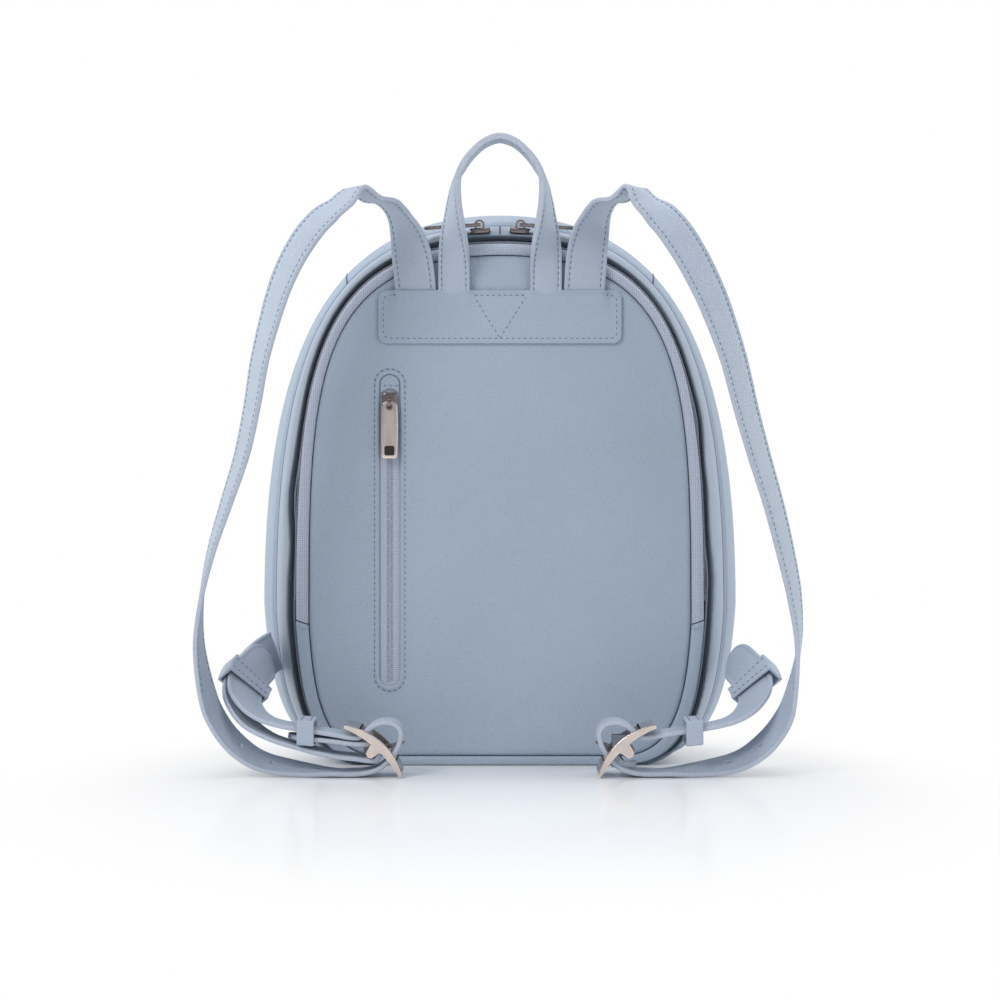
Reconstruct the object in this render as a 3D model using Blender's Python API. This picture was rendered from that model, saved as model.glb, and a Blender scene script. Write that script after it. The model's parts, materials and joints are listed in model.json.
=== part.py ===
"""Slim leather backpack that stands on its base, with its back panel and straps toward -Y."""

import math

import bmesh
import bpy
from mathutils import Matrix, Vector

# Clearance between pieces that are sewn or laid together.
GAP = 0.0003

# Back panel, whose outline is a round arch over two soft lower corners.
PANEL_HALF = 0.0953
PANEL_TOP = 0.2546
PANEL_BELLY = 0.070
PANEL_FOOT = 0.060
PANEL_SOLE = 0.0048
PANEL_THICK = 0.0055
PANEL_EDGE = 0.0028

# Rim of the bag, the widest ring of the body.
RIM_HALF = 0.1222
RIM_TOP = 0.2795
RIM_BELLY = 0.079
RIM_FOOT = 0.073
BACK_DEPTH = 0.0525
FRONT_DEPTH = 0.0525
WALL = 0.0019

# Zip tape in the groove round the panel, its end tabs and the strip under the panel.
TAPE_FLARE = 0.29
TAPE_THICK = 0.0009
TAB_THICK = 0.0017

# Patch that the straps and the handle are sewn under.
YOKE_HALF = 0.0608
YOKE_LOW = 0.2105
YOKE_HIGH = 0.2372
YOKE_THICK = 0.0015
YOKE_CORNER = 0.0045

# Straps.
STRAP_WIDTH = 0.0205
STRAP_THICK = 0.0022
STRAP_ROOT = 0.0421
STRAP_SPREAD = 0.1036
STRAP_CROWN = 0.2836
STRAP_REACH = 0.0440
# How far ahead the buckle lies, as a share of the reach.
BUCKLE_AHEAD = 0.950

# Handle.
HANDLE_WIDTH = 0.0158
HANDLE_THICK = 0.0032
HANDLE_ROOT = 0.0229
HANDLE_RISE = 0.0741
HANDLE_REACH = 0.0095

# Buckle at the lower end of each shoulder strap.
BUCKLE_LENGTH = 0.0360
BUCKLE_WIDTH = 0.0272
BUCKLE_RISE = 0.0042
BUCKLE_MID = 0.0042
BUCKLE_END = 0.0018
BUCKLE_RAIL = 0.0028
BUCKLE_BAR = 0.0060
BUCKLE_LEAN = 41.5
PIN_RADIUS = 0.0015
PIN_DROP = 0.0012
LOBE_WALL = 0.0010
PIN_OUT = 0.0617
PRONG_WIDTH = 0.0034
PRONG_THICK = 0.0019
PRONG_LENGTH = 0.0165
# Where the prong's hole lies on the loop, inward and up from the pin, in shares of the buckle length.
PRONG_HOLE = (0.360, 0.095)
KEEPER_WALL = 0.0013
KEEPER_LENGTH = 0.0085
KEEPER_PLAY = 0.0009
HOLE_RADIUS = 0.0014
HOLE_PITCH = 0.0250
# Height of the punched stretch of strap from the pin, in shares of the buckle length.
HOLE_LEVEL = -0.29

# Anchor straps, sewn into the seam between the gusset and the rim.
ANCHOR_HEIGHT = 0.0560
ANCHOR_LOOP = 0.1290

# Pocket zip in the back panel.
SLOT_X = -0.0550
SLOT_LOW = 0.0395
SLOT_HIGH = 0.1955
SLOT_WIDTH = 0.0105
SLOT_DEPTH = 0.0021
FLAP_LENGTH = 0.0085
FLAP_THICK = 0.0007

# Zip sliders and their pulls.
PULL_LENGTH = 0.0285
PULL_WIDTH = 0.0085
PULL_THICK = 0.0015
SLIDER_WIDTH = 0.0078
SLIDER_LENGTH = 0.0105
SLIDER_THICK = 0.0024
MAIN_PULL_X = 0.0100
SLIDER_ROUND = 0.0004
SLIDER_DROP = 0.0003
BRIDGE_WIRE = 0.0011
BRIDGE_PLAY = 0.0004
PULL_PLAY = 0.0011
PIVOT_LIFT = 0.0016
WINDOW_WIDTH = 0.0050
WINDOW_HEIGHT = 0.0048
WINDOW_SILL = 0.0016
MAIN_SLOPE = 8.0
MAIN_SAG = 4.0
# Seat of the main sliders: behind the panel's face, and clear of the gusset's top.
MAIN_SEAT_BEHIND = 0.0070
MAIN_SEAT_LIFT = 0.00035

# Parts of the outline: straight base, lower corner and arch, in segments for each half.
BASE_STEPS = 3
CORNER_STEPS = 8
ARCH_STEPS = 13
# Pulls of the outline's curves, as shares: the corner's toward the foot, along the floor and up
# the side, then the arch's up the side and along the rim's crest.
FOOT_PULL = 0.78
CORNER_EDGE = 0.06
CORNER_RISE = 0.45
ARCH_RISE = 0.645
RIM_CREST = 0.73
HALF_STEPS = BASE_STEPS + CORNER_STEPS + ARCH_STEPS
RING_STEPS = 2 * HALF_STEPS

SEAM_FLARE = 0.30
SEAM_GAP = GAP / (RIM_TOP - PANEL_TOP)

# Rings of the body. Columns: place between back and front, flare from panel outline to rim outline.
GUSSET_RINGS = ((-0.955, 0.300), (-0.900, 0.430), (-0.740, 0.570), (-0.545, 0.680))
RIM_RINGS = (
    (-0.539, 0.684),
    (-0.480, 0.800),
    (-0.300, 0.940),
    (-0.050, 1.000),
    (0.250, 0.990),
    (0.450, 0.950),
)
FRONT_RINGS = ((0.456, 0.948), (0.640, 0.860), (0.780, 0.720), (0.870, 0.560))
# Rise of the front panel's middle over its last ring, as a share of its depth.
CAP_RISE = 0.004
# Front panel inside its last ring. Columns: place toward the front, size against that ring.
FRONT_DOME = ((0.930, 0.930), (0.965, 0.800), (0.985, 0.600), (0.995, 0.350))

# Shoulder strap from the yoke to the floor. Columns: out from the root as a share of the spread,
# ahead of the panel as a share of the reach, height as a share of the crown, yaw and dip of the
# width direction in degrees, and how far the side's own turn and its own draw inward act.
SHOULDER_STATIONS = (
    (0.000, 0.032, 0.8495, 0, 0, 0.0, 0.0),
    (0.017, 0.094, 0.894, 14, 0, 0.5, 0.1),
    (0.043, 0.165, 0.938, 40, 0, 1.0, 0.2),
    (0.078, 0.261, 0.966, 61, 0, 0.9, 0.36),
    (0.127, 0.420, 0.982, 72, 0, 0.3, 0.54),
    (0.198, 0.620, 0.988, 72, 0, -0.4, 0.61),
    (0.276, 0.790, 1.000, 60, 0, -0.3, 0.64),
    (0.336, 0.890, 0.975, 45, 0, 0.4, 0.80),
    (0.407, 0.940, 0.954, 37, 0, 1.0, 0.93),
    (0.477, 0.985, 0.926, 41, 0, 1.2, 1.00),
    (0.545, 1.015, 0.887, 46, 0, 1.3, 1.00),
    (0.600, 1.040, 0.844, 51, 0, 1.4, 0.91),
    (0.645, 1.060, 0.795, 56, 0, 1.4, 0.72),
    (0.704, 1.090, 0.7105, 62, 0, 1.2, 0.43),
    (0.742, 1.110, 0.627, 65, 0, 1.1, 0.16),
    (0.788, 1.125, 0.5455, 67, 0, 1.0, -0.05),
    (0.859, 1.115, 0.465, 71, 0, 1.0, 0.02),
    (0.930, 1.080, 0.384, 77, 0, 1.2, 0.22),
    (0.979, 1.030, 0.304, 84, 0, 1.3, 0.25),
    (0.994, 0.985, 0.222, 94, 0, 1.2, 0.18),
    (0.957, 0.955, 0.1385, 103, 6, 0.7, 0.1),
    (0.907, 0.950, 0.0925, 104, 12, 0.2, 0.0),
    (0.823, 0.950, 0.0530, 98, 20, 0.0, 0.0),
    (0.710, 0.950, 0.0250, 92, 18, 0.0, 0.0),
    (0.560, 0.950, 0.0125, 90, 12, 0.0, 0.0),
)
# Stretch along the floor to the buckle, its slack loop and the way to the first keeper.
# Columns: inward from the pin and up from it, as shares of the buckle length.
LOOP_STATIONS = (
    (-0.530, -0.287),
    (-0.300, -0.292),
    (-0.100, -0.278),
    (0.060, -0.235),
    (0.180, -0.160),
    (0.278, -0.050),
    (0.358, 0.085),
    (0.392, 0.215),
    (0.368, 0.315),
    (0.285, 0.378),
    (0.160, 0.392),
    (0.030, 0.350),
    (-0.070, 0.268),
    (-0.170, 0.198),
    (-0.300, 0.200),
    (-0.450, 0.228),
    (-0.620, 0.256),
)
# Anchor strap from its seam to the buckle. Columns: out from the seam as a share of the way to the
# loop's outermost point, the way ahead from the seam to the buckle, height as a share of the seam's
# height, yaw and dip of the width direction.
ANCHOR_STATIONS = (
    (0.135, 0.045, 1.000, 180, -83),
    (0.420, 0.160, 0.940, 174, -70),
    (0.660, 0.380, 0.850, 158, -45),
    (0.880, 0.600, 0.740, 138, -20),
    (0.900, 0.790, 0.600, 120, -6),
    (0.550, 0.930, 0.440, 102, 0),
    (-0.120, 0.997, 0.325, 91, 0),
)
# Plies of the anchor strap on either side of the pin, as shares of the buckle length.
PLY_IN = ((-0.960, 0.058), (-0.730, -0.004), (-0.480, -0.058), (-0.240, -0.082))
PLY_BACK = ((-0.230, 0.112), (-0.480, 0.144), (-0.730, 0.170), (-0.960, 0.188), (-1.120, 0.212))
# Distance from the anchor strap to the tail that lies inside it, in strap thicknesses, from the
# second keeper up to the tail's tip.
TAIL_LIFT = (3.40, 2.80, 2.10, 1.65, 1.50, 1.50, 1.55)
KEEPER_STATION = 3
TAIL_KEEPER_LIFT = 1.95
# Middle line of the lower keeper's floor, as shares of the buckle length, and its height in plies.
LOWER_KEEPER = ((-0.985, 0.193), (-0.755, 0.172))
LOWER_KEEPER_HEIGHT = 3.5

# Handle from its root to its top. Columns: out as a share of the root, ahead as a share of the
# reach, up as a share of the rise, yaw of the width direction.
HANDLE_STATIONS = (
    (1.000, 0.00, 0.000, 0),
    (1.000, 0.16, 0.160, 8),
    (1.000, 0.45, 0.300, 32),
    (0.998, 0.78, 0.440, 56),
    (0.990, 0.92, 0.580, 72),
    (0.935, 0.98, 0.720, 84),
    (0.800, 1.00, 0.810, 90),
    (0.610, 1.00, 0.890, 90),
    (0.340, 1.00, 0.965, 90),
    (0.000, 1.00, 1.000, 90),
)

# The two sides. Columns: name, sign of x, turn of the shoulder strap in degrees and its draw inward
# as a share of the spread.
SIDES = (("left", -1, 0, 0.0), ("right", 1, -12, 0.07))


def clear_scene():
    for item in list(bpy.data.objects):
        bpy.data.objects.remove(item, do_unlink=True)


def material(name, colour, roughness, metallic=0.0):
    made = bpy.data.materials.new(name)
    made.use_nodes = True
    shader = made.node_tree.nodes["Principled BSDF"]
    shader.inputs["Base Color"].default_value = (*colour, 1.0)
    shader.inputs["Roughness"].default_value = roughness
    shader.inputs["Metallic"].default_value = metallic
    made.diffuse_color = (*colour, 1.0)
    return made


def finish(name, mesh, finish_material, smooth=35):
    """Wraps a mesh in an object with its material, smooth but for its sharp edges."""
    mesh.materials.append(finish_material)
    mesh.shade_smooth()
    mesh.set_sharp_from_angle(angle=math.radians(smooth))
    made = bpy.data.objects.new(name, mesh)
    bpy.context.scene.collection.objects.link(made)
    return made


def closed_body(name, points, faces, finish_material, smooth=35):
    mesh = bpy.data.meshes.new(name)
    mesh.from_pydata(points, [], faces)
    shape = bmesh.new()
    shape.from_mesh(mesh)
    bmesh.ops.recalc_face_normals(shape, faces=shape.faces)
    shape.to_mesh(mesh)
    shape.free()
    return finish(name, mesh, finish_material, smooth)


def loft(name, sections, finish_material, smooth=35, ring=False):
    """Joins closed sections of equal length, and caps the two ends unless they meet in a ring."""
    count = len(sections[0])
    points = [point for section in sections for point in section]
    faces = []
    spans = len(sections) if ring else len(sections) - 1
    for row in range(spans):
        first = row * count
        second = (row + 1) % len(sections) * count
        for column in range(count):
            after = (column + 1) % count
            faces.append((first + column, first + after, second + after, second + column))
    if not ring:
        faces.append(tuple(range(count)))
        faces.append(tuple(range(len(points) - count, len(points))))
    return closed_body(name, points, faces, finish_material, smooth)


def cut(target, cutter):
    """Takes the cutter's shape out of the target and puts the cutter away as a guide."""
    cutter.hide_render = True
    cutter.display_type = "WIRE"
    made = target.modifiers.new("cut", "BOOLEAN")
    made.operation = "DIFFERENCE"
    made.solver = "EXACT"
    made.object = cutter


def mirrored(points, sign):
    """Points are worked out on the side of -X. The other side has them mirrored."""
    return [Vector((-sign * point.x, point.y, point.z)) for point in points]


def spline(rows, steps):
    """Rows of numbers along a smooth curve through the given rows."""
    padded = [rows[0], *rows, rows[-1]]
    out = []
    for index in range(len(rows) - 1):
        before, start, end, after = padded[index : index + 4]
        for step in range(steps):
            t = step / steps
            out.append(
                tuple(
                    0.5
                    * (
                        2 * b
                        + (c - a) * t
                        + (2 * a - 5 * b + 4 * c - d) * t * t
                        + (3 * b - a - 3 * c + d) * t**3
                    )
                    for a, b, c, d in zip(before, start, end, after, strict=True)
                )
            )
    out.append(tuple(rows[-1]))
    return out


def width_way(yaw, dip):
    """Width direction on the -X side: yaw turns it from inward to ahead, and dip lowers it."""
    yaw = math.radians(yaw)
    dip = math.radians(dip)
    return Vector((math.cos(yaw) * math.cos(dip), -math.sin(yaw) * math.cos(dip), -math.sin(dip)))


def path_frames(rows):
    """Point, tangent, width direction and face normal at each row of (x, y, z, yaw, dip)."""
    points = [Vector(row[:3]) for row in rows]
    out = []
    for index, row in enumerate(rows):
        tangent = points[min(index + 1, len(rows) - 1)] - points[max(index - 1, 0)]
        tangent.normalize()
        across = width_way(row[3], row[4])
        across -= across.dot(tangent) * tangent
        across.normalize()
        out.append((points[index], tangent, across, across.cross(tangent)))
    return out


def ribbon(name, frames, width, thick, finish_material, sign, tip=False):
    """A flat strap along its frames. A tip is rounded over half the width."""
    left = 0.0
    ends = [0.0] * len(frames)
    for index in range(len(frames) - 2, -1, -1):
        left += (frames[index + 1][0] - frames[index][0]).length
        ends[index] = left
    sections = []
    for (point, _, across, normal), to_end in zip(frames, ends, strict=True):
        half = width / 2
        if tip and to_end < half:
            half *= max(0.30, math.sqrt(1 - (1 - to_end / half) ** 2))
        side = across * half
        up = normal * (thick / 2)
        corners = [point + side + up, point - side + up, point - side - up, point + side - up]
        sections.append(mirrored(corners, sign))
    return loft(name, sections, finish_material)


def block(name, corners, finish_material, sign=-1, bevel=0.0):
    """A box from eight corners: four low in order, then four high in the same order."""
    faces = [(0, 1, 2, 3), (4, 5, 6, 7), (0, 1, 5, 4), (1, 2, 6, 5), (2, 3, 7, 6), (3, 0, 4, 7)]
    made = closed_body(name, mirrored(corners, sign), faces, finish_material)
    if bevel:
        edges = made.modifiers.new("edges", "BEVEL")
        edges.width = bevel
        edges.segments = 1
    return made


def bezier(start, pull, push, end, steps):
    out = []
    for step in range(steps):
        t = step / steps
        s = 1 - t
        weights = (s**3, 3 * s * s * t, 3 * s * t * t, t**3)
        across = sum(w * p[0] for w, p in zip(weights, (start, pull, push, end), strict=True))
        height = sum(w * p[1] for w, p in zip(weights, (start, pull, push, end), strict=True))
        out.append((across, height))
    return out


def mix(low, high, share):
    return low + (high - low) * share


def outline(flare, inset=0.0):
    """Outline in x and z: flare 0 is the back panel's, flare 1 is the rim's."""
    half = mix(PANEL_HALF, RIM_HALF, flare) - inset
    top = mix(PANEL_TOP, RIM_TOP, flare) - inset
    belly = mix(PANEL_BELLY, RIM_BELLY, flare)
    foot = mix(PANEL_FOOT, RIM_FOOT, flare)
    sole = PANEL_SOLE * max(0.0, 1 - flare / SEAM_FLARE) + inset
    crest = mix(1.0, RIM_CREST, flare) * half
    base = [(foot * step / BASE_STEPS, sole) for step in range(BASE_STEPS)]
    corner = bezier(
        (foot, sole),
        (mix(foot, half, FOOT_PULL), sole),
        (mix(half, foot, CORNER_EDGE), mix(sole, belly, CORNER_RISE)),
        (half, belly),
        CORNER_STEPS,
    )
    arch = bezier((half, belly), (half, mix(belly, top, ARCH_RISE)), (crest, top), (0.0, top), ARCH_STEPS)
    right = base + corner + arch
    left = [(-x, z) for x, z in reversed(right[1:])]
    return right + [(0.0, top)] + left


def outline_point(flare, place, inset=0.0):
    """A point of the outline at a fractional step, counted from the middle of the base."""
    ring = outline(flare, inset)
    index = math.floor(place)
    x0, z0 = ring[index % RING_STEPS]
    x1, z1 = ring[(index + 1) % RING_STEPS]
    return mix(x0, x1, place - index), mix(z0, z1, place - index)


def depth_at(share):
    return share * (FRONT_DEPTH if share > 0 else BACK_DEPTH)


def ring_points(share, flare):
    return [Vector((x, depth_at(share), z)) for x, z in outline(flare)]


def shell(name, rings, finish_material, cap=False):
    """A sewn wall through the rings, with its thickness inward. A cap closes the last ring."""
    count = len(rings[0])
    points = [point for ring in rings for point in ring]
    faces = []
    for row in range(len(rings) - 1):
        for column in range(count):
            after = (column + 1) % count
            low = row * count
            faces.append((low + column, low + after, low + count + after, low + count + column))
    if cap:
        last = len(points) - count
        centre = sum(rings[-1], Vector()) / count
        points.append(centre + Vector((0, centre.y * CAP_RISE, 0)))
        faces += [(last + c, last + (c + 1) % count, len(points) - 1) for c in range(count)]
    mesh = bpy.data.meshes.new(name)
    mesh.from_pydata(points, [], faces)
    shape = bmesh.new()
    shape.from_mesh(mesh)
    bmesh.ops.recalc_face_normals(shape, faces=shape.faces)
    middle = Vector((0, 0, PANEL_TOP / 2))
    if sum(face.normal.dot(face.calc_center_median() - middle) for face in shape.faces) < 0:
        bmesh.ops.reverse_faces(shape, faces=shape.faces)
    shape.to_mesh(mesh)
    shape.free()
    made = finish(name, mesh, finish_material)
    wall = made.modifiers.new("wall", "SOLIDIFY")
    wall.thickness = WALL
    wall.offset = -1
    wall.use_even_offset = True
    return made


def body(leather):
    shell("gusset", [ring_points(*row) for row in GUSSET_RINGS], leather)
    shell("rim_band", [ring_points(*row) for row in RIM_RINGS], leather)
    rings = [ring_points(*row) for row in FRONT_RINGS]
    middle = Vector((0, 0, (RIM_TOP - PANEL_SOLE) / 2))
    edge = rings[-1]
    for share, size in FRONT_DOME:
        ring = []
        for point in edge:
            inside = middle + (point - middle) * size
            inside.y = depth_at(share)
            ring.append(inside)
        rings.append(ring)
    shell("front_panel", rings, leather, cap=True)


def groove_strip(name, start, end, thick, finish_material):
    """A strip in the groove between the panel and the gusset, from one step of the outline to another."""
    steps = max(1, math.ceil(end - start))
    front = depth_at(GUSSET_RINGS[0][0]) - GAP - thick
    sections = []
    for step in range(steps + 1):
        place = mix(start, end, step / steps)
        inner = outline_point(SEAM_GAP, place)
        outer = outline_point(TAPE_FLARE - SEAM_GAP / 2, place)
        sections.append(
            [
                Vector((inner[0], front, inner[1])),
                Vector((outer[0], front, outer[1])),
                Vector((outer[0], front + thick, outer[1])),
                Vector((inner[0], front + thick, inner[1])),
            ]
        )
    return loft(name, sections, finish_material)


def groove(textile, leather):
    """Zip tape as a horseshoe, an end tab at each side below it, and the strip under the panel."""
    low = BASE_STEPS
    high = BASE_STEPS + CORNER_STEPS
    apart = 0.06
    groove_strip("main_zip_tape", high + apart, RING_STEPS - high - apart, TAPE_THICK, textile)
    groove_strip("zip_end_tab_right", low + apart, high - apart, TAB_THICK, leather)
    groove_strip("zip_end_tab_left", RING_STEPS - high + apart, RING_STEPS - low - apart, TAB_THICK, leather)
    groove_strip("base_strip", -low + apart, low - apart, TAB_THICK, leather)


def rounded(x_low, x_high, z_low, z_high, radius, steps=3):
    """Corners of an upright rectangle with rounded corners, in x and z."""
    out = []
    centres = ((x_high, z_high, 0), (x_low, z_high, 90), (x_low, z_low, 180), (x_high, z_low, 270))
    for x, z, start in centres:
        cx = x - math.copysign(radius, x - (x_low + x_high) / 2)
        cz = z - math.copysign(radius, z - (z_low + z_high) / 2)
        for step in range(steps + 1):
            angle = math.radians(start + 90 * step / steps)
            out.append((cx + radius * math.cos(angle), cz + radius * math.sin(angle)))
    return out


def plate(name, shape, y_near, y_far, finish_material):
    """An upright outline in x and z, extruded from one depth to the other."""
    sections = [[Vector((x, y, z)) for x, z in shape] for y in (y_near, y_far)]
    return loft(name, sections, finish_material)


def back_panel(leather):
    face = -BACK_DEPTH
    rows = ((PANEL_THICK, 0.0), (PANEL_EDGE * 0.75, 0.0), (PANEL_EDGE * 0.22, 0.35), (0.0, 1.0))
    sections = []
    for behind, inset in rows:
        sections.append([Vector((x, face + behind, z)) for x, z in outline(0.0, inset * PANEL_EDGE)])
    made = loft("back_panel", sections, leather)
    half = SLOT_WIDTH / 2
    slot = rounded(SLOT_X - half, SLOT_X + half, SLOT_LOW, SLOT_HIGH, half * 0.98)
    cutter = plate("slot_cutter", slot, face - PANEL_THICK, face + SLOT_DEPTH, leather)
    cut(made, cutter)


def pocket_zip(textile, leather):
    face = -BACK_DEPTH + SLOT_DEPTH
    half = SLOT_WIDTH / 2 - GAP
    slot = rounded(SLOT_X - half, SLOT_X + half, SLOT_LOW + GAP, SLOT_HIGH - GAP, half * 0.98)
    plate("pocket_zip_tape", slot, face - GAP - TAPE_THICK, face - GAP, textile)
    half -= GAP
    low = SLOT_HIGH - FLAP_LENGTH
    top = rounded(SLOT_X - half, SLOT_X + half, low, SLOT_HIGH - 2 * GAP, half * 0.98)
    flap = [*top[: len(top) // 2], (SLOT_X - half, low), (SLOT_X + half, low)]
    y = -BACK_DEPTH
    plate("pocket_zip_flap", flap, y, y + FLAP_THICK, leather)


def yoke(leather):
    shape = rounded(-YOKE_HALF, YOKE_HALF, YOKE_LOW, YOKE_HIGH, YOKE_CORNER)
    y = -BACK_DEPTH - GAP
    plate("yoke", shape, y - YOKE_THICK, y, leather)


def handle(leather):
    base = YOKE_HIGH + GAP
    lay = -BACK_DEPTH - GAP - HANDLE_THICK / 2
    rows = []
    for out, ahead, up, yaw in HANDLE_STATIONS:
        rows.append((-out * HANDLE_ROOT, lay - ahead * HANDLE_REACH, base + up * HANDLE_RISE, yaw, 0))
    for out, ahead, up, yaw in reversed(HANDLE_STATIONS[:-1]):
        rows.append((out * HANDLE_ROOT, lay - ahead * HANDLE_REACH, base + up * HANDLE_RISE, 180 - yaw, 0))
    frames = path_frames(spline(rows, 3))
    first = Vector((0, 0, 1))
    frames[0] = (frames[0][0], first, Vector((1, 0, 0)), Vector((0, -1, 0)))
    frames[-1] = (frames[-1][0], -first, Vector((-1, 0, 0)), Vector((0, -1, 0)))
    ribbon("handle", frames, HANDLE_WIDTH, HANDLE_THICK, leather, -1)


def pin_place():
    """The buckle's pin stands where the lower end bar just clears the floor."""
    lean = math.radians(BUCKLE_LEAN)
    drop = math.sin(lean) * BUCKLE_LENGTH / 2 + math.cos(lean) * (BUCKLE_END / 2 - PIN_DROP)
    ahead = BACK_DEPTH + BUCKLE_AHEAD * STRAP_REACH
    return Vector((-PIN_OUT, -ahead, drop + GAP))


def buckle_point(inward, up):
    return pin_place() + Vector((inward, 0, up))


def strap_rows(turn, draw):
    """Rows of the shoulder strap from the yoke down to the floor."""
    rows = []
    for out, ahead, up, yaw, dip, turned, drawn in SHOULDER_STATIONS:
        x = -(STRAP_ROOT + (out - draw * drawn) * STRAP_SPREAD)
        y = -(BACK_DEPTH + ahead * STRAP_REACH)
        rows.append((x, y, up * STRAP_CROWN, yaw + turn * turned, dip))
    rows[0] = (-STRAP_ROOT, -(BACK_DEPTH + GAP + STRAP_THICK / 2), YOKE_HIGH + GAP, 0, 0)
    return rows


def anchor_seam():
    """Where the anchor strap leaves the seam, found on the body's own ring at its height."""
    share, flare = GUSSET_RINGS[-1]
    ring = outline(flare)
    for (x0, z0), (x1, z1) in zip(ring, ring[1:], strict=False):
        if z0 <= ANCHOR_HEIGHT < z1:
            break
    side = mix(x0, x1, (ANCHOR_HEIGHT - z0) / (z1 - z0))
    return Vector((-side, depth_at(share), ANCHOR_HEIGHT))


def anchor_rows():
    """Rows of the anchor strap up to the pin, the turn round it and the ply that comes back."""
    seam = anchor_seam()
    pin = pin_place()
    rows = []
    for out, ahead, up, yaw, dip in ANCHOR_STATIONS:
        x = mix(seam.x, -ANCHOR_LOOP, out)
        y = mix(seam.y, pin.y, ahead)
        rows.append((x, y, seam.z * up, yaw, dip))
    for inward, up in PLY_IN:
        rows.append((*buckle_point(inward * BUCKLE_LENGTH, up * BUCKLE_LENGTH), 90, 0))
    radius = PIN_RADIUS + PRONG_THICK + 2 * GAP
    for step in range(7):
        angle = math.radians(-90 + 30 * step)
        rows.append((*buckle_point(radius * math.cos(angle), radius * math.sin(angle)), 90, 0))
    for inward, up in PLY_BACK:
        rows.append((*buckle_point(inward * BUCKLE_LENGTH, up * BUCKLE_LENGTH), 90, 0))
    return rows


def tail_rows():
    """Rows of the strap's tail, which lies inside the anchor strap from one keeper to the other."""
    frames = path_frames(anchor_rows())
    rows = []
    for lift, index in zip(TAIL_LIFT, range(len(ANCHOR_STATIONS) - 1, -1, -1), strict=False):
        point, _, _, normal = frames[index]
        lifted = point + normal * (lift * STRAP_THICK)
        rows.append((*lifted, ANCHOR_STATIONS[index][3], ANCHOR_STATIONS[index][4]))
    return rows[: len(ANCHOR_STATIONS) - 1]


def shoulder_frames(turn, draw):
    rows = strap_rows(turn, draw)
    for inward, up in LOOP_STATIONS:
        rows.append((*buckle_point(inward * BUCKLE_LENGTH, up * BUCKLE_LENGTH), 90, 0))
    rows += tail_rows()
    frames = path_frames(spline(rows, 3))
    frames[0] = (frames[0][0], Vector((0, 0, 1)), Vector((1, 0, 0)), Vector((0, -1, 0)))
    return frames


def anchor_frames():
    return path_frames(spline(anchor_rows(), 3))


def nearest(frames, inward, up):
    """The frame of a path that lies nearest a place in the buckle's plane."""
    place = buckle_point(inward, up)
    return min(frames, key=lambda frame: (frame[0] - place).length)


def hole_cutter(name, frame, radius, finish_material, sign):
    point, tangent, across, normal = frame
    sections = []
    for lift in (-1.5 * STRAP_THICK, 1.5 * STRAP_THICK):
        ring = []
        for step in range(10):
            angle = math.tau * step / 10
            spoke = tangent * math.cos(angle) + across * math.sin(angle)
            ring.append(point + normal * lift + spoke * radius)
        sections.append(mirrored(ring, sign))
    return loft(name, sections, finish_material)


def shoulder_strap(side, sign, turn, draw, leather):
    frames = shoulder_frames(turn, draw)
    made = ribbon(f"shoulder_strap_{side}", frames, STRAP_WIDTH, STRAP_THICK, leather, sign, tip=True)
    tip = nearest(frames, PRONG_HOLE[0] * BUCKLE_LENGTH, PRONG_HOLE[1] * BUCKLE_LENGTH)
    cut(made, hole_cutter(f"prong_hole_cutter_{side}", tip, PRONG_WIDTH / 2 + 3 * GAP, leather, sign))
    for number in range(1, 4):
        frame = nearest(frames, -number * HOLE_PITCH, HOLE_LEVEL * BUCKLE_LENGTH)
        cut(made, hole_cutter(f"hole_cutter_{side}_{number}", frame, HOLE_RADIUS, leather, sign))


def anchor_strap(side, sign, leather):
    made = ribbon(f"anchor_strap_{side}", anchor_frames(), STRAP_WIDTH, STRAP_THICK, leather, sign, tip=True)
    pin = pin_place()
    reach = PIN_RADIUS + PRONG_THICK + 2 * STRAP_THICK
    half = PRONG_WIDTH / 2 + 2 * GAP
    eye = PIN_RADIUS + 0.8 * PRONG_THICK + 3 * GAP
    corners = []
    for z in (pin.z - reach, pin.z + reach):
        corners += [
            Vector((pin.x - eye, pin.y - half, z)),
            Vector((pin.x + reach, pin.y - half, z)),
            Vector((pin.x + reach, pin.y + half, z)),
            Vector((pin.x - eye, pin.y + half, z)),
        ]
    cut(made, block(f"prong_slot_cutter_{side}", corners, leather, sign))


def buckle_profile():
    """Side view of the buckle in its own chord: along from the upper end, and out from the chord."""
    steps = 12
    half = BUCKLE_LENGTH / 2
    outer = []
    inner = []
    lobe = PIN_RADIUS + LOBE_WALL
    for step in range(steps + 1):
        along = mix(-half, half, step / steps)
        swell = 1 - (along / half) ** 2
        middle = BUCKLE_RISE * swell
        thick = mix(BUCKLE_END, BUCKLE_MID, swell) / 2
        outer.append((along, middle + thick))
        if abs(along) > lobe:
            inner.append((along, middle - thick))
    under = [(lobe * math.cos(a), -PIN_DROP + lobe * math.sin(a)) for a in (-2.5, -1.57, -0.64)]
    left = [point for point in inner if point[0] < 0]
    right = [point for point in inner if point[0] > 0]
    return outer + right[::-1] + under[::-1] + left[::-1]


def chord_point(along, out, y):
    """A point of the buckle's chord in world space, on the -X side."""
    lean = math.radians(BUCKLE_LEAN)
    chord = Vector((math.cos(lean), 0, -math.sin(lean)))
    rise = Vector((math.sin(lean), 0, math.cos(lean)))
    point = pin_place() + chord * along + rise * (out + PIN_DROP)
    point.y = y
    return point


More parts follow.
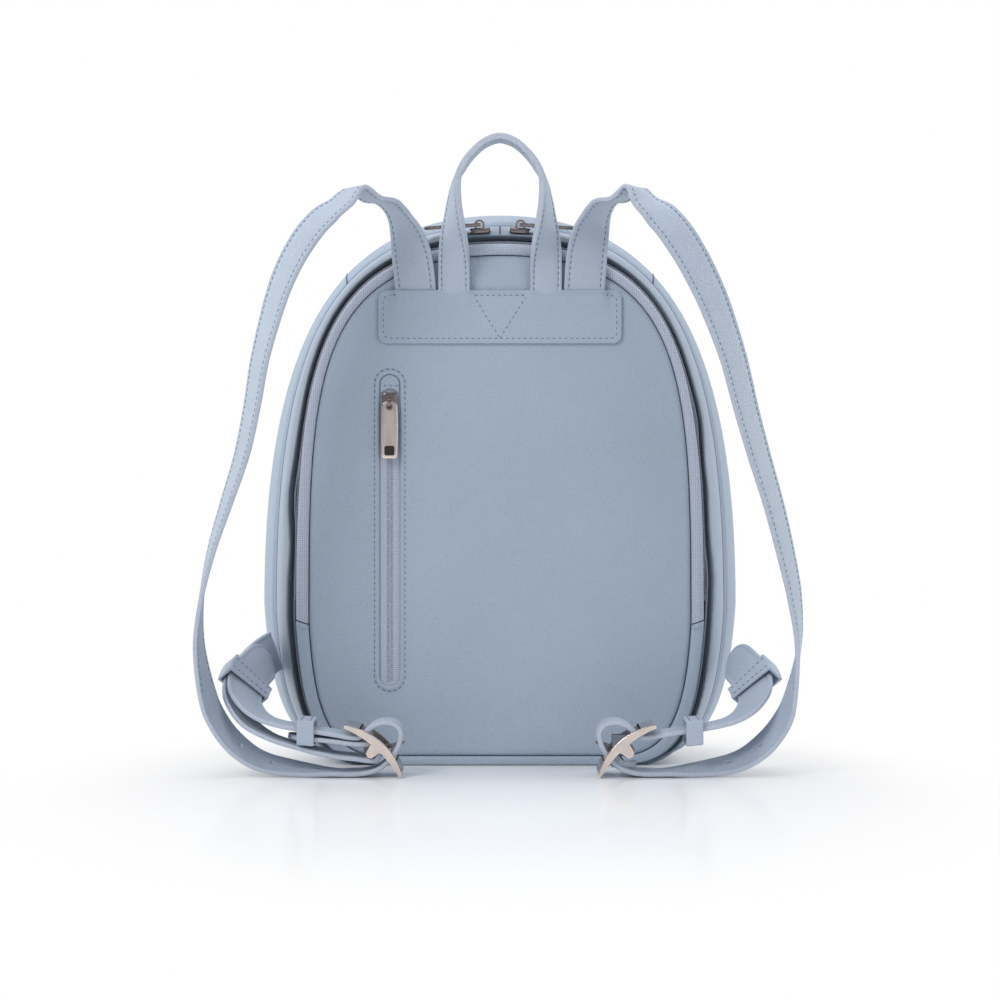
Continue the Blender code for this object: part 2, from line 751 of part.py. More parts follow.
def buckle(side, sign, metal):
    pin = pin_place()
    near = pin.y - BUCKLE_WIDTH / 2
    far = pin.y + BUCKLE_WIDTH / 2
    sections = []
    for y in (near, far):
        sections.append(mirrored([chord_point(a, o, y) for a, o in buckle_profile()], sign))
    frame = loft(f"buckle_frame_{side}", sections, metal)
    inside = BUCKLE_LENGTH / 2 - BUCKLE_BAR
    reach = BUCKLE_LENGTH / 2
    corners = []
    for along in (-inside, inside):
        for out, y in ((-reach, near), (-reach, far), (reach, far), (reach, near)):
            edge = y + math.copysign(BUCKLE_RAIL, pin.y - y)
            corners.append(chord_point(along, out, edge))
    cut(frame, block(f"buckle_opening_cutter_{side}", corners, metal, sign))
    turned = []
    for y in (near + BUCKLE_RAIL + GAP, far - BUCKLE_RAIL - GAP):
        ring = []
        for step in range(12):
            angle = math.tau * step / 12
            ring.append(
                Vector((pin.x + PIN_RADIUS * math.cos(angle), y, pin.z + PIN_RADIUS * math.sin(angle)))
            )
        turned.append(mirrored(ring, sign))
    loft(f"buckle_pin_{side}", turned, metal)


def prong(side, sign, metal):
    """Prong with an open eye round the pin, lying through the strap's hole."""
    pin = pin_place()
    inner = PIN_RADIUS + GAP
    outer = inner + PRONG_THICK * 0.8
    half = PRONG_THICK / 2
    tilt = math.degrees(math.atan2(*reversed(PRONG_HOLE)))
    steps = 8
    turn = 300
    first = math.degrees(math.asin(half / outer))
    last = math.degrees(math.asin(half / inner))
    shape = [polar(outer, tilt + mix(first, turn, step / steps)) for step in range(steps + 1)]
    shape += [polar(inner, tilt + mix(turn, -last, step / steps)) for step in range(steps + 1)]
    for along, lift in ((0.85, -0.9), (1.0, -0.4), (1.0, 0.4), (0.85, 0.9)):
        x, z = polar(along * PRONG_LENGTH, tilt)
        dx, dz = polar(lift * half, tilt + 90)
        shape.append((x + dx, z + dz))
    sections = []
    for y in (-PRONG_WIDTH / 2, PRONG_WIDTH / 2):
        sections.append(mirrored([pin + Vector((x, y, z)) for x, z in shape], sign))
    loft(f"buckle_prong_{side}", sections, metal)


def polar(radius, degrees):
    return radius * math.cos(math.radians(degrees)), radius * math.sin(math.radians(degrees))


def sleeve(name, frames, low, high, finish_material, sign):
    """A keeper round the plies, from a low to a high distance from the path, that follows the path."""
    half = STRAP_WIDTH / 2 + KEEPER_PLAY
    points = []
    for point, _, across, normal in frames:
        for wall in (0.0, KEEPER_WALL):
            for side, up in ((1, low - wall), (1, high + wall), (-1, high + wall), (-1, low - wall)):
                points.append(point + across * side * (half + wall) + normal * up)
    faces = []
    for row in range(len(frames) - 1):
        for layer in (0, 4):
            for corner in range(4):
                after = (corner + 1) % 4
                a = row * 8 + layer
                faces.append((a + corner, a + after, a + 8 + after, a + 8 + corner))
    for a in (0, (len(frames) - 1) * 8):
        for corner in range(4):
            after = (corner + 1) % 4
            faces.append((a + corner, a + after, a + 4 + after, a + 4 + corner))
    closed_body(name, mirrored(points, sign), faces, finish_material)


def keepers(side, sign, leather):
    """One keeper round the anchor strap and the tail, and one round the tail and the ply that comes back."""
    frames = anchor_frames()
    middle = KEEPER_STATION * 3
    picked = [frames[middle]]
    step = 1
    while (picked[-1][0] - picked[0][0]).length < KEEPER_LENGTH:
        picked = [frames[middle - step], *picked, frames[middle + step]]
        step += 1
    low = -STRAP_THICK / 2 - 2 * GAP
    high = (TAIL_KEEPER_LIFT + 0.5) * STRAP_THICK + 2 * GAP
    sleeve(f"keeper_upper_{side}", picked, low, high, leather, sign)
    straight = []
    for inward, up in LOWER_KEEPER:
        place = buckle_point(inward * BUCKLE_LENGTH, up * BUCKLE_LENGTH)
        straight.append((place, Vector((1, 0, 0)), Vector((0, -1, 0)), Vector((0, 0, 1))))
    high = LOWER_KEEPER_HEIGHT * STRAP_THICK
    sleeve(f"keeper_lower_{side}", straight, low, high, leather, sign)


def placed(points, place, turn):
    return [place + turn @ point for point in points]


def zip_pull(name, place, turn, metal):
    """A slider with its bridge, and its pull on the bridge. Its own frame has the pivot along x,
    the pull toward -z and the slider's face toward -y."""
    base = PIVOT_LIFT + SLIDER_THICK
    half = SLIDER_WIDTH / 2
    sections = []
    for z, wide, drop in (
        (-SLIDER_LENGTH * 0.50, 0.62, SLIDER_DROP),
        (-SLIDER_LENGTH * 0.34, 0.86, 0.0),
        (SLIDER_LENGTH * 0.30, 1.00, 0.0),
        (SLIDER_LENGTH * 0.50, 0.76, SLIDER_DROP),
    ):
        top = PIVOT_LIFT + drop
        ring = [
            Vector((-half * wide, base, z)),
            Vector((half * wide, base, z)),
            Vector((half * wide, top + SLIDER_ROUND, z)),
            Vector((half * wide * 0.8, top, z)),
            Vector((-half * wide * 0.8, top, z)),
            Vector((-half * wide, top + SLIDER_ROUND, z)),
        ]
        sections.append(placed(ring, place, turn))
    slider = loft(f"{name}_slider", sections, metal)
    inner = PULL_THICK * 0.5 * math.sqrt(2) + BRIDGE_PLAY
    outer = inner + BRIDGE_WIRE
    wide = BRIDGE_WIRE * 0.55
    root = PIVOT_LIFT + SLIDER_THICK * 0.4
    profile = [(root, outer)]
    profile += [(-outer * math.sin(a), outer * math.cos(a)) for a in (math.pi * k / 6 for k in range(7))]
    profile += [(root, -outer), (root, -inner)]
    profile += [(-inner * math.sin(a), -inner * math.cos(a)) for a in (math.pi * k / 6 for k in range(7))]
    profile += [(root, inner)]
    sections = [placed([Vector((x, y, z)) for y, z in profile], place, turn) for x in (-wide, wide)]
    bridge = loft(f"{name}_bridge_cutter", sections, metal)
    bridge.hide_render = True
    bridge.display_type = "WIRE"
    joined = slider.modifiers.new("bridge", "BOOLEAN")
    joined.operation = "UNION"
    joined.solver = "EXACT"
    joined.object = bridge
    plate_half = PULL_WIDTH / 2
    thick = PULL_THICK / 2
    top = thick
    outline_rows = (
        (0.42, top),
        (0.80, top - PULL_LENGTH * 0.035),
        (0.92, top - PULL_LENGTH * 0.14),
        (1.00, top - PULL_LENGTH * 0.50),
        (0.94, top - PULL_LENGTH * 0.923),
        (0.76, top - PULL_LENGTH),
    )
    shape = [(plate_half * share, z) for share, z in outline_rows]
    shape += [(-x, z) for x, z in reversed(shape)]
    sections = []
    for y, size in ((-thick, 0.94), (-thick * 0.6, 1.0), (thick * 0.6, 1.0), (thick, 0.94)):
        sections.append(placed([Vector((x * size, y, z)) for x, z in shape], place, turn))
    pull = loft(f"{name}_pull", sections, metal)
    hole = -(inner + outer) / 2
    reach = BRIDGE_WIRE / 2 + PULL_PLAY
    ring = [polar(reach, 30 * step) for step in range(12)]
    sections = []
    for y in (-PULL_THICK, PULL_THICK):
        sections.append(placed([Vector((x, y, hole + z)) for x, z in ring], place, turn))
    cut(pull, loft(f"{name}_hole_cutter", sections, metal))
    low = top - PULL_LENGTH + WINDOW_SILL
    window = rounded(-WINDOW_WIDTH / 2, WINDOW_WIDTH / 2, low, low + WINDOW_HEIGHT, WINDOW_WIDTH * 0.2, 1)
    sections = []
    for y in (-PULL_THICK, PULL_THICK):
        sections.append(placed([Vector((x, y, z)) for x, z in window], place, turn))
    cut(pull, loft(f"{name}_window_cutter", sections, metal))


def main_seat():
    """Depth and height of the main sliders' seat, on the gusset's slope at the top."""
    y = MAIN_SEAT_BEHIND - BACK_DEPTH
    share = y / BACK_DEPTH
    for (near, low), (far, high) in zip(GUSSET_RINGS, GUSSET_RINGS[1:], strict=False):
        if near <= share <= far:
            break
    flare = mix(low, high, (share - near) / (far - near))
    return y, mix(PANEL_TOP, RIM_TOP, flare) + MAIN_SEAT_LIFT


def zip_pulls(metal):
    """The pocket's pull hangs, and the two main pulls lie outward on the gusset at the top."""
    base = -BACK_DEPTH + SLOT_DEPTH - 2 * GAP - TAPE_THICK
    height = SLOT_HIGH - FLAP_LENGTH - SLIDER_LENGTH / 2 - 3 * GAP
    pivot = Vector((SLOT_X, base - SLIDER_THICK - PIVOT_LIFT, height))
    zip_pull("pocket", pivot, Matrix.Identity(3), metal)
    slope = math.radians(MAIN_SLOPE)
    out = Vector((0, -math.sin(slope), math.cos(slope)))
    lift = SLIDER_THICK + PIVOT_LIFT + GAP
    seat_y, seat_z = main_seat()
    for side, sign in (("left", -1), ("right", 1)):
        sag = math.radians(MAIN_SAG)
        rest = Vector((sign * math.cos(sag), 0, 0)) - out * math.sin(sag)
        face = out * math.cos(sag) + Vector((sign * math.sin(sag), 0, 0))
        turn = Matrix((rest.cross(face), -face, -rest)).transposed()
        seat = Vector((sign * MAIN_PULL_X, seat_y, seat_z))
        zip_pull(f"main_{side}", seat + face * lift, turn, metal)


def main():
    clear_scene()
    leather = material("blue_leather", (0.33, 0.42, 0.53), 0.50)
    textile = material("grey_textile", (0.42, 0.46, 0.56), 0.80)
    metal = material("pale_metal", (0.78, 0.74, 0.68), 0.28, 1.0)
    body(leather)
    back_panel(leather)
    groove(textile, leather)
    yoke(leather)
    handle(leather)
    pocket_zip(textile, leather)
    for side, sign, turn, draw in SIDES:
        shoulder_strap(side, sign, turn, draw, leather)
        anchor_strap(side, sign, leather)
        keepers(side, sign, leather)
        buckle(side, sign, metal)
        prong(side, sign, metal)
    zip_pulls(metal)


main()
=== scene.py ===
"""Looks of the slim leather backpack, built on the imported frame. Metres, +Z up, back panel toward -Y."""

import json
import math

import bmesh
import bpy
from mathutils import Matrix, Vector

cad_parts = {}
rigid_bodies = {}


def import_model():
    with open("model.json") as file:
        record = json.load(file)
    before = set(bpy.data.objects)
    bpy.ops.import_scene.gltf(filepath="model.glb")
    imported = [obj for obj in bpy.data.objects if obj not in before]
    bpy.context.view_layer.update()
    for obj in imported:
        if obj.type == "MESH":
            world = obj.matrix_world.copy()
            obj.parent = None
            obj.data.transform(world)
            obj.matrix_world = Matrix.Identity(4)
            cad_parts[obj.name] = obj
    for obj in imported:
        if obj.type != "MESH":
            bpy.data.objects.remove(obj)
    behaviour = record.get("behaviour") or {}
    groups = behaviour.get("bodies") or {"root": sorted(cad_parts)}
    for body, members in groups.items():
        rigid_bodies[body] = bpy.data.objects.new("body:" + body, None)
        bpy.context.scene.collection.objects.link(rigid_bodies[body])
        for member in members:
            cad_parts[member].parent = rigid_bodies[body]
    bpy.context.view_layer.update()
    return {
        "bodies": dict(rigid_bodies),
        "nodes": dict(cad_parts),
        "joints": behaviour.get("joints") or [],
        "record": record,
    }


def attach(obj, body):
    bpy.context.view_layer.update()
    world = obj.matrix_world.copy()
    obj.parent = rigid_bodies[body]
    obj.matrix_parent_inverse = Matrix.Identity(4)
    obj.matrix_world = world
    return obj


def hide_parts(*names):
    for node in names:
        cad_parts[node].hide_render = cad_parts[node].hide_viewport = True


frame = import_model()

# Clearance between pieces that are sewn or laid together.
GAP = 0.0003

# Back panel, whose outline is a round arch over two soft lower corners.
PANEL_HALF = 0.0953
PANEL_TOP = 0.2546
PANEL_BELLY = 0.070
PANEL_FOOT = 0.060
PANEL_SOLE = 0.0048
PANEL_THICK = 0.0055
PANEL_EDGE = 0.0028

# Rim of the bag, the widest ring of the body.
RIM_HALF = 0.1222
RIM_TOP = 0.2795
RIM_BELLY = 0.079
RIM_FOOT = 0.073
BACK_DEPTH = 0.0525
FRONT_DEPTH = 0.0525

# Zip tape in the groove round the panel, its end tabs and the strip under the panel.
TAPE_FLARE = 0.29
TAPE_THICK = 0.0009
TAB_THICK = 0.0017

# Patch that the straps and the handle are sewn under.
YOKE_HALF = 0.0608
YOKE_LOW = 0.2105
YOKE_HIGH = 0.2372
YOKE_THICK = 0.0015
YOKE_CORNER = 0.0045

# Straps.
STRAP_WIDTH = 0.0205
STRAP_THICK = 0.0022
STRAP_ROOT = 0.0421
STRAP_SPREAD = 0.1036
STRAP_CROWN = 0.2836
STRAP_REACH = 0.0440
# How far ahead the buckle lies, as a share of the reach.
BUCKLE_AHEAD = 0.950

# Handle.
HANDLE_WIDTH = 0.0158
HANDLE_THICK = 0.0032
HANDLE_ROOT = 0.0229
HANDLE_RISE = 0.0741
HANDLE_REACH = 0.0095

# Buckle at the lower end of each shoulder strap.
BUCKLE_LENGTH = 0.0360
BUCKLE_WIDTH = 0.0272
BUCKLE_RISE = 0.0042
BUCKLE_MID = 0.0042
BUCKLE_END = 0.0018
BUCKLE_RAIL = 0.0028
BUCKLE_BAR = 0.0060
BUCKLE_LEAN = 41.5
PIN_RADIUS = 0.0015
PIN_DROP = 0.0012
LOBE_WALL = 0.0010
PIN_OUT = 0.0617
PRONG_WIDTH = 0.0034
PRONG_THICK = 0.0019
PRONG_LENGTH = 0.0165
# Where the prong's hole lies on the loop, inward and up from the pin, in shares of the buckle length.
PRONG_HOLE = (0.360, 0.095)
KEEPER_WALL = 0.0013
KEEPER_LENGTH = 0.0085
KEEPER_PLAY = 0.0009
HOLE_RADIUS = 0.0014
HOLE_PITCH = 0.0250
# Height of the punched stretch of strap from the pin, in shares of the buckle length.
HOLE_LEVEL = -0.29

# Anchor straps, sewn into the seam between the gusset and the rim.
ANCHOR_HEIGHT = 0.0560
ANCHOR_LOOP = 0.1290

# Pocket zip in the back panel.
SLOT_X = -0.0550
SLOT_LOW = 0.0395
SLOT_HIGH = 0.1955
SLOT_WIDTH = 0.0105
SLOT_DEPTH = 0.0021
FLAP_LENGTH = 0.0085
FLAP_THICK = 0.0007

# Zip sliders and their pulls.
PULL_LENGTH = 0.0285
PULL_WIDTH = 0.0085
PULL_THICK = 0.0015
SLIDER_WIDTH = 0.0078
SLIDER_LENGTH = 0.0105
SLIDER_THICK = 0.0024
MAIN_PULL_X = 0.0100
BRIDGE_WIRE = 0.0011
BRIDGE_PLAY = 0.0004
PULL_PLAY = 0.0011
PIVOT_LIFT = 0.0016
WINDOW_WIDTH = 0.0050
WINDOW_HEIGHT = 0.0048
WINDOW_SILL = 0.0016
MAIN_SLOPE = 8.0
MAIN_SAG = 4.0
# Seat of the main sliders: behind the panel's face, and clear of the gusset's top.
MAIN_SEAT_BEHIND = 0.0070
MAIN_SEAT_LIFT = 0.00035

# Parts of the outline: straight base, lower corner and arch, in segments for each half.
BASE_STEPS = 6
CORNER_STEPS = 22
ARCH_STEPS = 38
# Pulls of the outline's curves, as shares: the corner's toward the foot, along the floor and up
# the side, then the arch's up the side and along the rim's crest.
FOOT_PULL = 0.78
CORNER_EDGE = 0.06
CORNER_RISE = 0.45
ARCH_RISE = 0.645
RIM_CREST = 0.73
HALF_STEPS = BASE_STEPS + CORNER_STEPS + ARCH_STEPS
RING_STEPS = 2 * HALF_STEPS

SEAM_FLARE = 0.30
SEAM_GAP = GAP / (RIM_TOP - PANEL_TOP)

# Rings of the gusset. Columns: place between back and front, flare from panel outline to rim outline.
GUSSET_RINGS = ((-0.955, 0.300), (-0.900, 0.430), (-0.740, 0.570), (-0.545, 0.680))
# Rise of the front panel's middle over its last ring, as a share of its depth.
CAP_RISE = 0.004
# Front panel inside its last ring. Columns: place toward the front, size against that ring.
FRONT_DOME = ((0.930, 0.930), (0.965, 0.800), (0.985, 0.600), (0.995, 0.350), (0.999, 0.120))

# Shoulder strap from the yoke to the floor. Columns: out from the root as a share of the spread,
# ahead of the panel as a share of the reach, height as a share of the crown, yaw and dip of the
# width direction in degrees, and how far the side's own turn and its own draw inward act.
SHOULDER_STATIONS = (
    (0.000, 0.032, 0.8495, 0, 0, 0.0, 0.0),
    (0.017, 0.094, 0.894, 14, 0, 0.5, 0.1),
    (0.043, 0.165, 0.938, 40, 0, 1.0, 0.2),
    (0.078, 0.261, 0.966, 61, 0, 0.9, 0.36),
    (0.127, 0.420, 0.982, 72, 0, 0.3, 0.54),
    (0.198, 0.620, 0.988, 72, 0, -0.4, 0.61),
    (0.276, 0.790, 1.000, 60, 0, -0.3, 0.64),
    (0.336, 0.890, 0.975, 45, 0, 0.4, 0.80),
    (0.407, 0.940, 0.954, 37, 0, 1.0, 0.93),
    (0.477, 0.985, 0.926, 41, 0, 1.2, 1.00),
    (0.545, 1.015, 0.887, 46, 0, 1.3, 1.00),
    (0.600, 1.040, 0.844, 51, 0, 1.4, 0.91),
    (0.645, 1.060, 0.795, 56, 0, 1.4, 0.72),
    (0.704, 1.090, 0.7105, 62, 0, 1.2, 0.43),
    (0.742, 1.110, 0.627, 65, 0, 1.1, 0.16),
    (0.788, 1.125, 0.5455, 67, 0, 1.0, -0.05),
    (0.859, 1.115, 0.465, 71, 0, 1.0, 0.02),
    (0.930, 1.080, 0.384, 77, 0, 1.2, 0.22),
    (0.979, 1.030, 0.304, 84, 0, 1.3, 0.25),
    (0.994, 0.985, 0.222, 94, 0, 1.2, 0.18),
    (0.957, 0.955, 0.1385, 103, 6, 0.7, 0.1),
    (0.907, 0.950, 0.0925, 104, 12, 0.2, 0.0),
    (0.823, 0.950, 0.0530, 98, 20, 0.0, 0.0),
    (0.710, 0.950, 0.0250, 92, 18, 0.0, 0.0),
    (0.560, 0.950, 0.0125, 90, 12, 0.0, 0.0),
)
# Stretch along the floor to the buckle, its slack loop and the way to the first keeper.
# Columns: inward from the pin and up from it, as shares of the buckle length.
LOOP_STATIONS = (
    (-0.530, -0.287),
    (-0.300, -0.292),
    (-0.100, -0.278),
    (0.060, -0.235),
    (0.180, -0.160),
    (0.278, -0.050),
    (0.358, 0.085),
    (0.392, 0.215),
    (0.368, 0.315),
    (0.285, 0.378),
    (0.160, 0.392),
    (0.030, 0.350),
    (-0.070, 0.268),
    (-0.170, 0.198),
    (-0.300, 0.200),
    (-0.450, 0.228),
    (-0.620, 0.256),
)
# Anchor strap from its seam to the buckle. Columns: out from the seam as a share of the way to the
# loop's outermost point, the way ahead from the seam to the buckle, height as a share of the seam's
# height, yaw and dip of the width direction.
ANCHOR_STATIONS = (
    (0.135, 0.045, 1.000, 180, -83),
    (0.420, 0.160, 0.940, 174, -70),
    (0.660, 0.380, 0.850, 158, -45),
    (0.880, 0.600, 0.740, 138, -20),
    (0.900, 0.790, 0.600, 120, -6),
    (0.550, 0.930, 0.440, 102, 0),
    (-0.120, 0.997, 0.325, 91, 0),
)
# Plies of the anchor strap on either side of the pin, as shares of the buckle length.
PLY_IN = ((-0.960, 0.058), (-0.730, -0.004), (-0.480, -0.058), (-0.240, -0.082))
PLY_BACK = ((-0.230, 0.112), (-0.480, 0.144), (-0.730, 0.170), (-0.960, 0.188), (-1.120, 0.212))
# Distance from the anchor strap to the tail that lies inside it, in strap thicknesses, from the
# second keeper up to the tail's tip.
TAIL_LIFT = (3.40, 2.80, 2.10, 1.65, 1.50, 1.50, 1.55)
KEEPER_STATION = 3
TAIL_KEEPER_LIFT = 1.95
# Middle line of the lower keeper's floor, as shares of the buckle length, and its height in plies.
LOWER_KEEPER = ((-0.985, 0.193), (-0.755, 0.172))
LOWER_KEEPER_HEIGHT = 3.5

# Handle from its root to its top. Columns: out as a share of the root, ahead as a share of the
# reach, up as a share of the rise, yaw of the width direction.
HANDLE_STATIONS = (
    (1.000, 0.00, 0.000, 0),
    (1.000, 0.16, 0.160, 8),
    (1.000, 0.45, 0.300, 32),
    (0.998, 0.78, 0.440, 56),
    (0.990, 0.92, 0.580, 72),
    (0.935, 0.98, 0.720, 84),
    (0.800, 1.00, 0.810, 90),
    (0.610, 1.00, 0.890, 90),
    (0.340, 1.00, 0.965, 90),
    (0.000, 1.00, 1.000, 90),
)

# The two sides. Columns: name, sign of x, turn of the shoulder strap in degrees and its draw inward
# as a share of the spread.
SIDES = (("left", -1, 0, 0.0), ("right", 1, -12, 0.07))

# Shown forms, finer than the solids that they stand for.
FINE_STEPS = 8
ROW_STEPS = 5
SEAM_STEPS = 4
DOME_STEPS = 4
TURN_STEPS = 6
ROUND_STEPS = 24
SLOT_STEPS = 10
FLAP_STEPS = 12
LINE_STEPS = 8
PROFILE_STEPS = 36
PIN_STEPS = 28
ARC_STEPS = 16
EYE_STEPS = 30
SHOWN_WALL = 0.0010
ROOT_TUCK = 0.0050
ROOT_SINK = 0.0005
METAL_ROUND = 0.00035
BACKWARD = Vector((0, -1, 0))

# Rows of the shown body, as in the gusset's rings, with turned edges, the valley beside the zip
# tape and the gusset's soft fold next to it. Columns: place between back and front, flare, and for
# the gusset the inset that raises the valley at the base.
GUSSET_SHOWN = (
    (-0.905, 0.300, 0.0),
    (-0.860, 0.318, 0.0003),
    (-0.800, 0.345, 0.0010),
    (-0.785, 0.372, 0.0013),
    (-0.825, 0.396, 0.0010),
    (-0.895, 0.404, 0.0004),
    (-0.930, 0.416, 0.0001),
    (-0.925, 0.440, 0.0),
    (-0.895, 0.466, 0.0),
    (-0.830, 0.512, 0.0),
    (-0.740, 0.575, 0.0),
    (-0.620, 0.648, 0.0),
    (-0.572, 0.676, 0.0),
    (-0.552, 0.681, 0.0),
    (-0.546, 0.662, 0.0),
)
RIM_SHOWN = (
    (-0.538, 0.662),
    (-0.534, 0.690),
    (-0.520, 0.728),
    (-0.480, 0.800),
    (-0.300, 0.940),
    (-0.050, 1.000),
    (0.250, 0.990),
    (0.420, 0.962),
    (0.446, 0.948),
    (0.450, 0.925),
)
FRONT_SHOWN = (
    (0.455, 0.925),
    (0.460, 0.946),
    (0.490, 0.944),
    (0.640, 0.860),
    (0.780, 0.720),
    (0.870, 0.560),
)
# Soft dents of the gusset beside the zip. Columns: side, height, size, push outward as a share.
DENTS = (
    (-1, 0.1345, 0.013, 0.42),
    (-1, 0.1094, 0.011, -0.36),
    (-1, 0.1740, 0.020, -0.22),
    (1, 0.1740, 0.012, 0.34),
    (1, 0.1520, 0.010, -0.30),
    (1, 0.0930, 0.014, 0.40),
    (1, 0.1200, 0.016, -0.22),
)
# Place and reach of the dents between back and front, and the flare that a whole push goes.
DENT_SHARE = -0.900
DENT_DEPTH = 0.110
DENT_FLARE = 0.1

# Strap section. Columns: share of the half width, share of the half thickness.
STRAP_SECTION = (
    (1.000, 0.34),
    (0.990, 0.74),
    (0.965, 0.97),
    (0.900, 1.06),
    (0.830, 0.94),
    (0.765, 0.74),
    (0.700, 0.92),
    (0.560, 1.06),
    (0.250, 1.12),
    (0.000, 1.14),
)
# Least width of a rounded tip, as a share.
TIP_LEAST = 0.12
STITCH_SHARE = 0.765
STITCH_PITCH = 0.0029
STITCH_LENGTH = 0.0018
STITCH_RADIUS = 0.00023
STITCH_SIDES = 6
# One stitch from end to end. Columns: along as a share of its length, lift and size as shares of its
# radius.
STITCH_ROWS = ((-0.50, -0.90, 0.55), (-0.30, 0.25, 1.0), (0.30, 0.25, 1.0), (0.50, -0.90, 0.55))
# Height of the thread over a strap's middle, as a share of its thickness.
STITCH_LIFT = 0.40
# Punched holes of a shoulder strap, and its last stations without stitches.
HOLES = 3
UNSEWN = 4
SEAM_RADIUS = 0.00042
# Step of the outline where a seam crosses the rim at each side.
SIDE_SEAM = 51.5
# Place and flare of the seam between the gusset and the rim.
RIM_SEAM = (-0.542, 0.678)
# First row of the gusset that its short seam crosses.
FOLD_ROW = 7
# Painted shade of the gusset toward the fold beside the zip, where shade falls: least and greatest x with
# the shade at each, and the depths between which it fades out.
SHADE_SIDES = (-0.050, 0.050, 0.60, 0.86)
SHADE_DEPTHS = (-0.0490, -0.0350)

# Rounded face of a strip. Columns: share of the way outward, share of the crown.
STRIP_SECTION = (
    (0.0, -0.6),
    (0.05, 0.1),
    (0.18, 0.62),
    (0.40, 0.96),
    (0.60, 0.96),
    (0.82, 0.62),
    (0.95, 0.1),
    (1.0, -0.6),
)
TAPE_CROWN = 0.0013
TAB_CROWN = 0.00055
LIP_CROWN = 0.00125
# Gap between a tab and the tape and length of a tab's lip, in steps of the outline.
TAB_APART = 0.06
LIP_STEP = 0.45
# Flares of the shown tape's outer edge and of its coil.
TAPE_SHOWN = 0.245
COIL_FLARE = 0.266
COIL_SINK = 0.0006
COIL_BEAD = 0.00045
COIL_PITCH = 0.00125
COIL_HALF = 0.00085
COIL_LENGTH = 0.0015
COIL_RADIUS = 0.00036
COIL_START = 0.003

# Rounded edge of the back panel. Columns: behind the face and inward, as shares of the edge.
PAD_EDGE = ((0.80, 0.0), (0.42, 0.10), (0.16, 0.38), (0.03, 0.72), (0.0, 1.15))
PAD_FOOT = 0.10
# Crown of the back panel: its height, the heights between which it rises and ends, how far under the
# yoke it ends, and how far from the slot it is whole.
PANEL_CROWN = 0.0011
CROWN_LOW = 0.070
CROWN_HIGH = 0.165
CROWN_SLOT = 0.016
CROWN_MARGIN = 0.010
CROWN_UNDER = 0.006
CROWN_SKIN = 0.0004
PANEL_PITCH = 0.0040
# Rounded lip round the slot. Columns: distance outward from the slot's edge, height over the face.
WELT_SECTION = (
    (-0.00020, -0.0017),
    (-0.00024, -0.0006),
    (-0.00008, 0.00010),
    (0.00035, 0.00046),
    (0.00090, 0.00056),
    (0.00150, 0.00044),
    (0.00205, 0.00012),
    (0.00240, -0.00008),
    (0.00290, 0.00004),
    (0.00330, -0.00030),
    (0.00200, -0.00060),
    (0.00030, -0.00170),
)
WELT_STITCH = 0.0024
WELT_SINK = 0.00015
RUN_PITCH = 0.002
YOKE_STITCH = 0.0026
YOKE_TRI = 0.0133
YOKE_OPEN = 0.010
YOKE_ROUND = 0.0006
YOKE_PITCH = 0.0018
YOKE_EDGE_PITCH = 0.003
YOKE_SINK = 0.0001
# Bulge of the yoke over the ends under it: share of a strap's thickness, how far past a strap's edge
# it starts and ends, and how far under the yoke's top.
BULGE_SHARE = 0.85
BULGE_EDGE = (0.0002, 0.0022)
BULGE_UNDER = (0.0135, 0.0030)
# Roundness of the slot's ends, as a share of its half width.
SLOT_ROUND = 0.98
# Notch of the flap: its height, how far its ends hang down as a share of it, and the share of the
# flap's width that its stitches take.
FLAP_NOTCH = 0.0024
FLAP_DIP = 0.55
FLAP_RUN = 0.8
FLAP_ROUND = 0.0003
FLAP_PROUD = 0.0001
FLAP_STITCH = 0.0026
KEEPER_ROUND = 0.0011
# Places of a keeper's stitched lines along it.
KEEPER_LINES = (0.24, 0.76)
# Rounded end of the prong. Columns: along as a share of its length, lift as a share of half its
# thickness.
PRONG_TIP = (
    (0.80, -0.95),
    (0.92, -0.80),
    (0.98, -0.45),
    (1.00, 0.00),
    (0.98, 0.45),
    (0.92, 0.80),
    (0.80, 0.95),
)
# Thickness of the prong's eye as a share of the prong's, and where it ends in degrees round the pin.
PRONG_EYE = 0.8
PRONG_TURN = 300
# Size of the pin's ends as a share, and reach of the cutter that opens the buckle's frame.
PIN_END = 0.94
BUCKLE_CUT = 0.02
# Face of a slider from its middle to its side. Columns: out as a share, drop.
SLIDER_FACE = ((0.40, 0.0), (0.80, 0.0001), (0.93, 0.0003), (1.00, 0.0008))
SLIDER_ROUND = 0.0002
# Side of a pull from its top to its foot. Columns: half width as a share, distance from the top.
PULL_ROWS = (
    (0.42, 0.0),
    (0.80, 0.0010),
    (0.92, 0.0040),
    (1.00, PULL_LENGTH * 0.50),
    (0.94, PULL_LENGTH - 0.0026),
    (0.84, PULL_LENGTH - 0.0007),
    (0.70, PULL_LENGTH),
)
# Rounded edge of a pull. Columns: depth from its face, inset.
PULL_EDGE = ((0.0, 0.00045), (0.00012, 0.00018), (0.0004, 0.0))
# Bridge's half width as a share of its wire and its root's depth as a share of the slider's thickness.
BRIDGE_HALF = 0.55
BRIDGE_ROOT = 0.4
# Roundness of a pull's window as a share of its width, and depths of its black pane of painted shade, as
# shares of half the pull's thickness.
WINDOW_ROUND = 0.2
PANE_DEPTHS = (0.3, 0.8)
# Bed pressed in a pull's face: half width as a share, gap over the window, top, depth and corners.
BED_HALF = 0.36
BED_GAP = 0.0007
BED_TOP = -0.0050
BED_DEPTH = 0.00022
BED_ROUND = 0.0016
